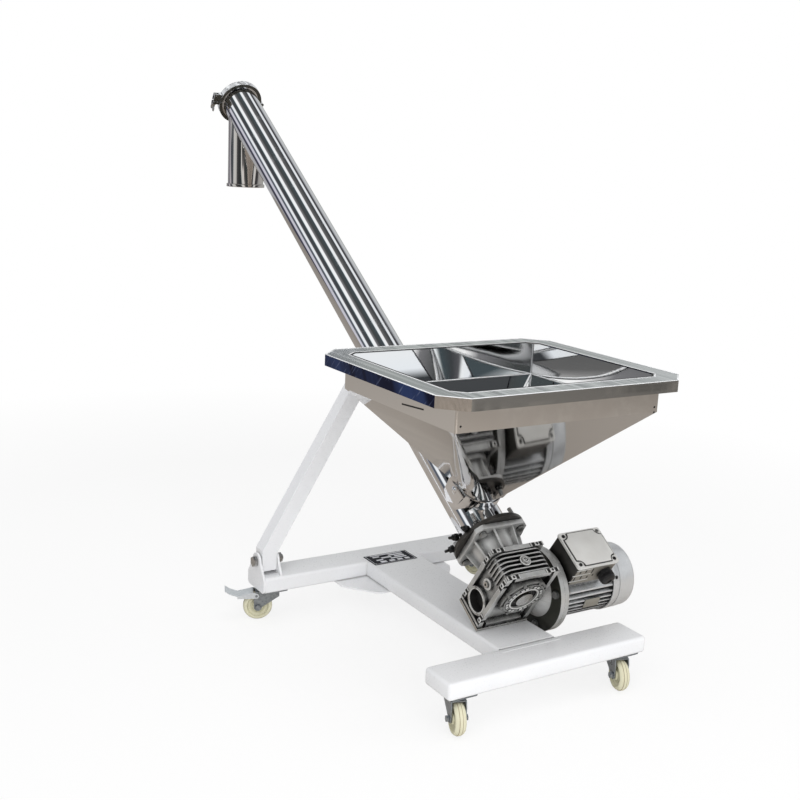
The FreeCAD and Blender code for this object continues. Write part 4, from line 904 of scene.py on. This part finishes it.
def makeReducerCover():
    pads, pits, screws = bmesh.new(), bmesh.new(), bmesh.new()
    r = reducer
    spot = onTube((r["coverFace"], 0, 0), footward)
    circle, radius, tall = r["coverScrew"]
    for k in range(8):
        turn = 45 * k
        for arcs, size, rows in ((pits, "coverPit", "coverPits"), (pads, "coverPad", "coverPads")):
            for start, angle, steps in r[rows]:
                addArc(arcs, spot, r[size], turn + start, angle, steps)
        point = (r["coverFace"] + 0.001, *around(circle, turn + r["coverScrewTurn"]))
        addScrew(screws, onTube(point, footward), radius, tall, 16, True)
    addTurned(pads, spot, softRing(*r["coverRing"]), 64)
    finishPiece(pads, "coverPads", "edge")
    finishPiece(pits, "coverPits", "pit")
    finishPiece(screws, "coverScrews", "bolt")


def makeShaftEnd():
    seal, face, key = bmesh.new(), bmesh.new(), bmesh.new()
    r = reducer
    addTurned(seal, onTube((r["sealFace"], 0, 0), footward), r["sealLip"], 64)
    finishPiece(seal, "outputSealLip", "rubber")
    spot = onTube((r["shaftFace"], 0, 0), footward)
    addTurned(face, spot, r["shaftEnd"], 48)
    finishPiece(face, "shaftEndFace", "shaft", "auger")
    addTurned(key, spot, r["shaftRing"], 48)
    for point, size in r["keyways"]:
        addBlock(key, onTube(point, footward), size, 0.0004)
    finishPiece(key, "shaftKey", "pit", "auger")


def makeReducerPorts():
    bright, dark, screws = bmesh.new(), bmesh.new(), bmesh.new()
    r = reducer
    middle, top, left, drop = r["middle"], r["top"], r["left"], r["wormDrop"]
    addTurned(bright, onTube((middle, left, -drop), leftward), softRing(*r["wormRing"]), 64)
    addTurned(dark, onTube((middle, r["wormFloorAt"], -drop), leftward), r["wormFloor"], 48)
    addTurned(dark, onTube((middle, 0, -drop), leftward), r["wormLiner"], 48)
    circle, radius, tall = r["wormScrew"]
    for k in range(4):
        s, up = around(circle, 45 + 90 * k)
        spot = onTube((middle + s, left - r["wormScrewSunk"], up - drop), leftward)
        addScrew(screws, spot, radius, tall, 14, True)
    topRing = onTube((middle, 0, top), upward)
    sideRing = onTube((middle, left - r["sideRingSunk"], 0), leftward)
    for spot, inner in ((topRing, r["topRing"]), (sideRing, r["sideRing"])):
        outline = [(inner, -0.001), (inner, 0.001), (inner + 0.0006, 0.0014)] + r["ringOutside"]
        addTurned(bright, spot, outline, 40)
    topPlug = onTube((middle, 0, top + r["plugLift"]), upward)
    sidePlug = onTube((middle, left + r["plugLift"], 0), leftward)
    addTurned(bright, topPlug, r["plugHead"], 32)
    addTurned(dark, topPlug, flatRing(*r["plugGroove"]), 6)
    addTurned(dark, sidePlug, flatRing(*r["plugSocket"]), 6)
    finishPiece(bright, "portRings", "edge")
    finishPiece(dark, "portDepths", "pit")
    finishPiece(screws, "portScrews", "bolt")


# terminal box: four lid screws, a blank raised panel with an outline in painted shade, slots in painted shade and
# lands, black gland
terminal = {
    "low": (-0.27, -0.243), "high": (-0.172, -0.125), "lidTop": 0.074, "panelInset": 0.004,
    # growth, hollow at the screws, lift, height and edge of the lid's two slabs
    "panel": (0, 0.0165, 0.0016, 0.0016, 0.0007),
    "groove": (0.0016, 0.016, 0.0001, 0.002, 0),
    "screwInset": 0.0085, "screw": (0.0042, 0.0028),
    # place across and up on the face towards the foot, and length of each slot and land
    "slots": [
        (-0.139, 0.054, 0.01), (-0.156, 0.056, 0.015), (-0.176, 0.052, 0.017), (-0.133, 0.03, 0.014),
        (-0.152, 0.032, 0.013), (-0.171, 0.03, 0.009), (-0.186, 0.034, 0.008),
    ],
    "slotWide": 0.0034, "slotTall": 0.0008, "slotLean": 8, "landWide": 0.0026, "landTall": 0.0014,
    "lands": [(-0.148, 0.062, 0.046), (-0.148, 0.043, 0.052), (-0.15, 0.021, 0.056)],
    "gland": (-0.27, -0.219, 0.036), "glandHex": (0.03, 0.006),
    "glandFoot": [(0.006, 0.0045), (0.01786, 0.0045), (0.019, 0.0075)],
    "glandRib": [(0.0188, 0.0095), (0.0178, 0.0102)],
    "ribPitch": 0.002,
    "glandTop": [(0.01786, 0.0215), (0.0152, 0.0245), (0.01045, 0.0262), (0.0062, 0.0264), (0.0056, 0.0245)],
    "plug": [(0, 0.0246), (0.004, 0.0246), (0.0058, 0.024), (0.0058, 0.01), (0, 0.01)],
}


def makeLidSlab(name, finish, grow, scallop, lift, tall, edge):
    # a flat slab on the lid, whose corners are hollowed round the lid's screws
    slab = bmesh.new()
    t = terminal
    (lowS, lowY), (highS, highY) = t["low"], t["high"]
    inset = t["panelInset"] - grow
    halfS, halfY = (highS - lowS) / 2 - inset, (highY - lowY) / 2 - inset
    dots = []
    for sideS, sideY, first in ((1, 1, 270), (-1, 1, 0), (-1, -1, 90), (1, -1, 180)):
        for k in range(7):
            s, y = around(scallop, first - 15 * k)
            s += (lowS + highS) / 2 + sideS * halfS
            y += (lowY + highY) / 2 + sideY * halfY
            dots.append(slab.verts.new((s, y, t["lidTop"] + lift)))
    made = bmesh.ops.extrude_face_region(slab, geom=[slab.faces.new(dots)])["geom"]
    bmesh.ops.translate(slab, vec=(0, 0, tall), verts=[v for v in made if isinstance(v, bmesh.types.BMVert)])
    if edge > 0:
        roundEdges(slab, list({e for f in made if isinstance(f, bmesh.types.BMFace) for e in f.edges}), edge)
    bmesh.ops.recalc_face_normals(slab, faces=slab.faces)
    slab.transform(conveyorPlace())
    finishPiece(slab, name, finish)


def makeTerminalTrim():
    t = terminal
    (lowS, lowY), (highS, highY) = t["low"], t["high"]
    makeLidSlab("lidPanel", "lid", *t["panel"])
    makeLidSlab("lidGroove", "pit", *t["groove"])
    darkScrews, paleScrews = bmesh.new(), bmesh.new()
    inset = t["screwInset"]
    spots = [(s, y) for y in (lowY + inset, highY - inset) for s in (lowS + inset, highS - inset)]
    for k, (s, y) in enumerate(spots):
        addScrew(paleScrews if k == 1 else darkScrews, onTube((s, y, t["lidTop"]), upward, 20 * k), *t["screw"])
    finishPiece(darkScrews, "lidScrews", "darkBolt")
    finishPiece(paleScrews, "lidScrewPale", "bolt")
    slots, lands = bmesh.new(), bmesh.new()
    for y, up, long in t["slots"]:
        spot = onTube((lowS, y, up), footward, t["slotLean"])
        addBlock(slots, spot, (t["slotWide"], long, t["slotTall"]), 0.0003)
    finishPiece(slots, "boxSlots", "pit")
    for y, up, long in t["lands"]:
        addBlock(lands, onTube((lowS, y, up), footward), (long, t["landWide"], t["landTall"]), 0.0005)
    finishPiece(lands, "boxLands", "edge")
    gland, plug = bmesh.new(), bmesh.new()
    spot = onTube(t["gland"], footward)
    addHex(gland, spot, *t["glandHex"])
    ribs = [(radius, height + t["ribPitch"] * k) for k in range(5) for radius, height in t["glandRib"]]
    addTurned(gland, spot, t["glandFoot"] + ribs + t["glandTop"], 28)
    finishPiece(gland, "glandBody", "plastic", replaced="cable_gland")
    addTurned(plug, spot, t["plug"], 20)
    finishPiece(plug, "glandPlug", "rubber")


# motor: stepped band and screws on the fan cover, blank rating plate, washers in its flange
motor = {
    "axis": (-0.222, -0.063), "coverStart": -0.272, "coverRadius": 0.077,
    # outlines of the cover's bands, as radii over the cover's own and heights
    "bands": [
        [(-0.001, 0), (0.001, 0), (0.0018, 0.0008), (0.0018, 0.016), (0.001, 0.0172),
         (-0.0004, 0.0176), (-0.001, 0.0176)],
        [(-0.001, 0.02), (0.0002, 0.0204), (0.0011, 0.0216), (0.0013, 0.03), (0.0011, 0.044),
         (0.0002, 0.056), (-0.001, 0.0565)],
    ],
    "screwPlace": (-0.281, 0.0774), "screwTurns": (128, 248, 8), "screw": (0.0042, 0.0026),
    "plate": (0.046, 0.026, 0.001), "platePlace": (-0.2125, 0.0757, 168),
    "plateRivets": 0.0205,
    "plateRivet": [(0, 0.0014), (0.001, 0.0013), (0.0017, 0.0006), (0.0017, 0), (0, 0)],
    "flangeBolts": (-0.094, 0.0825),
    "flangeWasher": (0.0055, 0.0098, -0.0002, 0.0016),
}


def aroundMotor(y, radius, degrees):
    s, up = around(radius, degrees)
    return (motor["axis"][0] + s, y, motor["axis"][1] + up), (s, 0, up)


def makeMotorTrim():
    m = motor
    band, screws, plate, fixings = bmesh.new(), bmesh.new(), bmesh.new(), bmesh.new()
    spot = onTube((m["axis"][0], m["coverStart"], m["axis"][1]), rightward)
    for outline in m["bands"]:
        addTurned(band, spot, [(m["coverRadius"] + radius, height) for radius, height in outline], 96)
    finishPiece(band, "fanCoverBand", "motor")
    for degrees in m["screwTurns"]:
        point, normal = aroundMotor(*m["screwPlace"], degrees)
        addScrew(screws, onTube(point, normal), *m["screw"])
    finishPiece(screws, "fanCoverScrews", "darkBolt")
    point, normal = aroundMotor(*m["platePlace"])
    addBlock(plate, onTube(point, normal), m["plate"], 0.0003)
    finishPiece(plate, "ratingPlateBlank", "beige")
    for shift in (-m["plateRivets"], m["plateRivets"]):
        addTurned(fixings, onTube((point[0], point[1] + shift, point[2]), normal), m["plateRivet"], 12)
    for k in range(4):
        point = aroundMotor(*m["flangeBolts"], 45 + 90 * k)[0]
        addTurned(fixings, onTube(point, leftward), flatRing(*m["flangeWasher"]), 24)
    finishPiece(fixings, "motorSmallFixings", "bolt")


# flange at the tube's foot: dark studs with nuts and washers, their thread ends standing free
footFlange = {
    "back": -0.122, "studs": range(0, 360, 45),
    # place of the nut along the tube, reach of the thread and circle of the studs
    "diagonal": (-0.097, 0.028, 0.075), "upright": (-0.1, 0.0196, 0.069),
    "backWasher": (0.0045, 0.0092, -0.0004, 0.0014),
    "frontWasher": (0.004, 0.0096, -0.001, 0.0016),
    "nut": (0.016, 0.009), "thread": (0.0044, 0.004),
    # turn and place along the tube of the screws that stand on the rim
    "rimScrews": ((-22, -0.094), (4, -0.09), (28, -0.096)),
    "rimRadius": 0.086,
    "rimWasher": (0.0036, 0.0088, -0.0004, 0.005),
    "rimNut": (0.013, 0.008), "rimThread": (0.0036, 0.008, 0.022),
}


def makeFlangeNuts():
    nuts, washers = bmesh.new(), bmesh.new()
    f = footFlange
    for degrees in f["studs"]:
        start, reach, circle = f["diagonal"] if degrees % 90 else f["upright"]
        side, up = around(circle, degrees)
        if degrees % 90:
            addTurned(washers, onTube((f["back"], side, up), footward), flatRing(*f["backWasher"]), 24)
        spot = onTube((start, side, up), headward, degrees)
        addTurned(washers, spot, flatRing(*f["frontWasher"]), 24)
        addHex(nuts, spot, *f["nut"])
        addThread(nuts, spot, *f["thread"], reach)
    for degrees, along in f["rimScrews"]:
        across = Vector((0, *around(1, degrees)))
        spot = onTube(Vector((along, 0, 0)) + across * f["rimRadius"], across)
        addTurned(washers, spot, flatRing(*f["rimWasher"]), 20)
        addHex(nuts, spot @ Matrix.Translation((0, 0, f["rimWasher"][3])), *f["rimNut"])
        addThread(nuts, spot, *f["rimThread"])
    finishPiece(nuts, "flangeNuts", "darkBolt")
    finishPiece(washers, "flangeWashers", "darkBolt")


# front bar: a closed box section with well rounded corners
frontBar = {"corner": 0.0085, "steps": 5}


def makeFrontBar():
    bar = bmesh.new()
    low, high = (Vector(corner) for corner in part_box("front_crossbar"))
    bmesh.ops.create_cube(bar, size=1)
    bmesh.ops.scale(bar, vec=high - low, verts=bar.verts)
    bmesh.ops.translate(bar, vec=(low + high) / 2, verts=bar.verts)
    roundEdges(bar, bar.edges[:], frontBar["corner"], frontBar["steps"])
    finishPiece(bar, "frontBarRounded", "enamel", "base", "front_crossbar")


# welds where the spine meets the bars, painted over: rows of overlapping ripples
welds = {
    "width": 0.0065, "pitch": 0.0035, "flat": 0.55, "coarse": (0.1, 2.3), "fine": (0.06, 5.1),
    "runs": [
        ((-0.192, -0.1118, 0.127), (-0.192, 0.0482, 0.127)),
        ((-0.811, -0.1118, 0.127), (-0.811, 0.0482, 0.127)),
    ],
}


def makeBaseWelds():
    beads = bmesh.new()
    w = welds
    (coarse, slow), (fine, quick) = w["coarse"], w["fine"]
    for start, end in w["runs"]:
        start, end = Vector(start), Vector(end)
        count = int((end - start).length / w["pitch"])
        for k in range(count + 1):
            shape = bmesh.new()
            bmesh.ops.create_uvsphere(shape, u_segments=8, v_segments=5, radius=w["width"] / 2)
            wobble = 1 + coarse * math.sin(k * slow) + fine * math.sin(k * quick)
            bmesh.ops.scale(shape, vec=(wobble, wobble, w["flat"]), verts=shape.verts)
            joinShape(beads, shape, Matrix.Translation(start.lerp(end, k / count)))
    finishPiece(beads, "baseWelds", "enamel", "base")


# clamp bolt: thread between the eye and the wing nut, and the nut with its two leaning wings
clampNut = {
    "along": 1.69, "side": 0.087, "top": -0.0106, "thread": (0.0034, -0.012, 0.028),
    "barrel": [(0.0036, 0), (0.0074, 0), (0.0076, 0.002), (0.0062, 0.005), (0.0056, 0.012), (0.005, 0.0135),
               (0.0036, 0.0135)],
    "wing": (0.0066, 0.0028, 0.0092), "drop": 0.015, "spread": 0.0074, "lean": 20,
}


def makeClampThread():
    c = clampNut
    thread, nut = bmesh.new(), bmesh.new()
    addThread(thread, onTube((c["along"], c["side"], 0.0), downward), *c["thread"])
    finishPiece(thread, "clampThread", "bolt", "swing_bolt")
    spot = onTube((c["along"], c["side"], c["top"]), downward)
    addTurned(nut, spot, c["barrel"], 24)
    for side in (-1, 1):
        shape = bmesh.new()
        bmesh.ops.create_uvsphere(shape, u_segments=20, v_segments=12, radius=1)
        bmesh.ops.scale(shape, vec=c["wing"], verts=shape.verts)
        lean = Matrix.Rotation(math.radians(side * c["lean"]), 4, "Y")
        joinShape(nut, shape, spot @ Matrix.Translation((side * c["spread"], 0, c["drop"])) @ lean)
    finishPiece(nut, "wingNutBody", "bolt", "wing_nut", "wing_nut", 40)


# castor wheels: a ring round the hub on each side and two moulding lines round the tread
wheels = {
    "lines": (-0.004, 0.003),
    "line": [(0.0345, -0.0007), (0.0369, -0.0004), (0.0369, 0.0004), (0.0345, 0.0007)],
    "hubFace": 0.0073,
    "hubRing": [(0.0122, 0), (0.0122, 0.001), (0.0134, 0.0016), (0.017, 0.0016), (0.0184, 0.0006), (0.0184, 0)],
}


def makeWheelTrim():
    w = wheels
    axes = {joint["name"]: Vector(joint["axis"]).normalized() for joint in frame["joints"]}
    for corner in ("front_left", "front_right", "rear_left", "rear_right"):
        low, high = (Vector(end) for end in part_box("castor_wheel_" + corner))
        middle, axis = (low + high) / 2, axes["roll_" + corner]
        lines, rings = bmesh.new(), bmesh.new()
        for shift in w["lines"]:
            addTurned(lines, standing(middle + shift * axis, axis), w["line"], 64)
        finishPiece(lines, "treadLine_" + corner, "treadBrown", "wheel_" + corner)
        for side in (-1, 1):
            addTurned(rings, standing(middle + side * w["hubFace"] * axis, side * axis), w["hubRing"], 32)
        finishPiece(rings, "hubRing_" + corner, "nylonShade", "wheel_" + corner)


# name plate: a dark plate with empty pale fields, a thin border and four rivets
namePlate = {
    "middle": (-0.208, -0.0248, 0.12925),
    # place, width and length of each field
    "fields": [
        (-0.026, 0, 0.004, 0.096), (-0.016, -0.024, 0.007, 0.044), (-0.016, 0.036, 0.007, 0.02),
        (-0.005, -0.03, 0.0075, 0.03), (-0.005, 0.01, 0.0075, 0.03), (0.006, -0.022, 0.007, 0.048),
        (0.006, 0.036, 0.007, 0.02), (0.02, -0.04, 0.01, 0.014), (0.02, -0.018, 0.01, 0.016),
        (0.02, 0.006, 0.01, 0.016), (0.02, 0.032, 0.01, 0.018),
        (0.03, 0, 0.0012, 0.122), (-0.03, 0, 0.0012, 0.122),
        (0, -0.061, 0.06, 0.0012), (0, 0.061, 0.06, 0.0012),
    ],
    "thick": 0.0003,
    "rivets": [(-0.028, -0.06), (-0.028, 0.06), (0.028, -0.06), (0.028, 0.06)],
    "rivet": [(0, 0.0012), (0.001, 0.001), (0.002, 0.0004), (0.0022, -0.0001), (0, -0.0001)],
}


def makeNamePlateFields():
    fields, rivets = bmesh.new(), bmesh.new()
    n = namePlate
    x, y, z = n["middle"]
    for across, along, wide, long in n["fields"]:
        addBlock(fields, Matrix.Translation((x - across, y + along, z)), (wide, long, n["thick"]), 0.0001)
    for across, along in n["rivets"]:
        addTurned(rivets, Matrix.Translation((x + across, y + along, z)), n["rivet"], 14)
    finishPiece(fields, "namePlateFields", "printPale", "base")
    finishPiece(rivets, "namePlateRivets", "bolt", "base")


makeCamera()
makeSurround()
makeLamps()
makeFloor()
makeGroups()
finishes = makeFinishes()
print("studio and finishes made")

for name in sorted(set(nodes) - dressing["remade"]):
    dressSolid(name)
print("solids dressed")

makeHopperSeams()
makeHopperTrim()
makeReducerPads()
makeReducerCover()
makeShaftEnd()
makeReducerPorts()
makeTerminalTrim()
makeMotorTrim()
makeFlangeNuts()
makeNamePlateFields()
makeFrontBar()
makeBaseWelds()
makeClampThread()
makeWheelTrim()
print("small details made")

scene.view_settings.view_transform = "Standard"
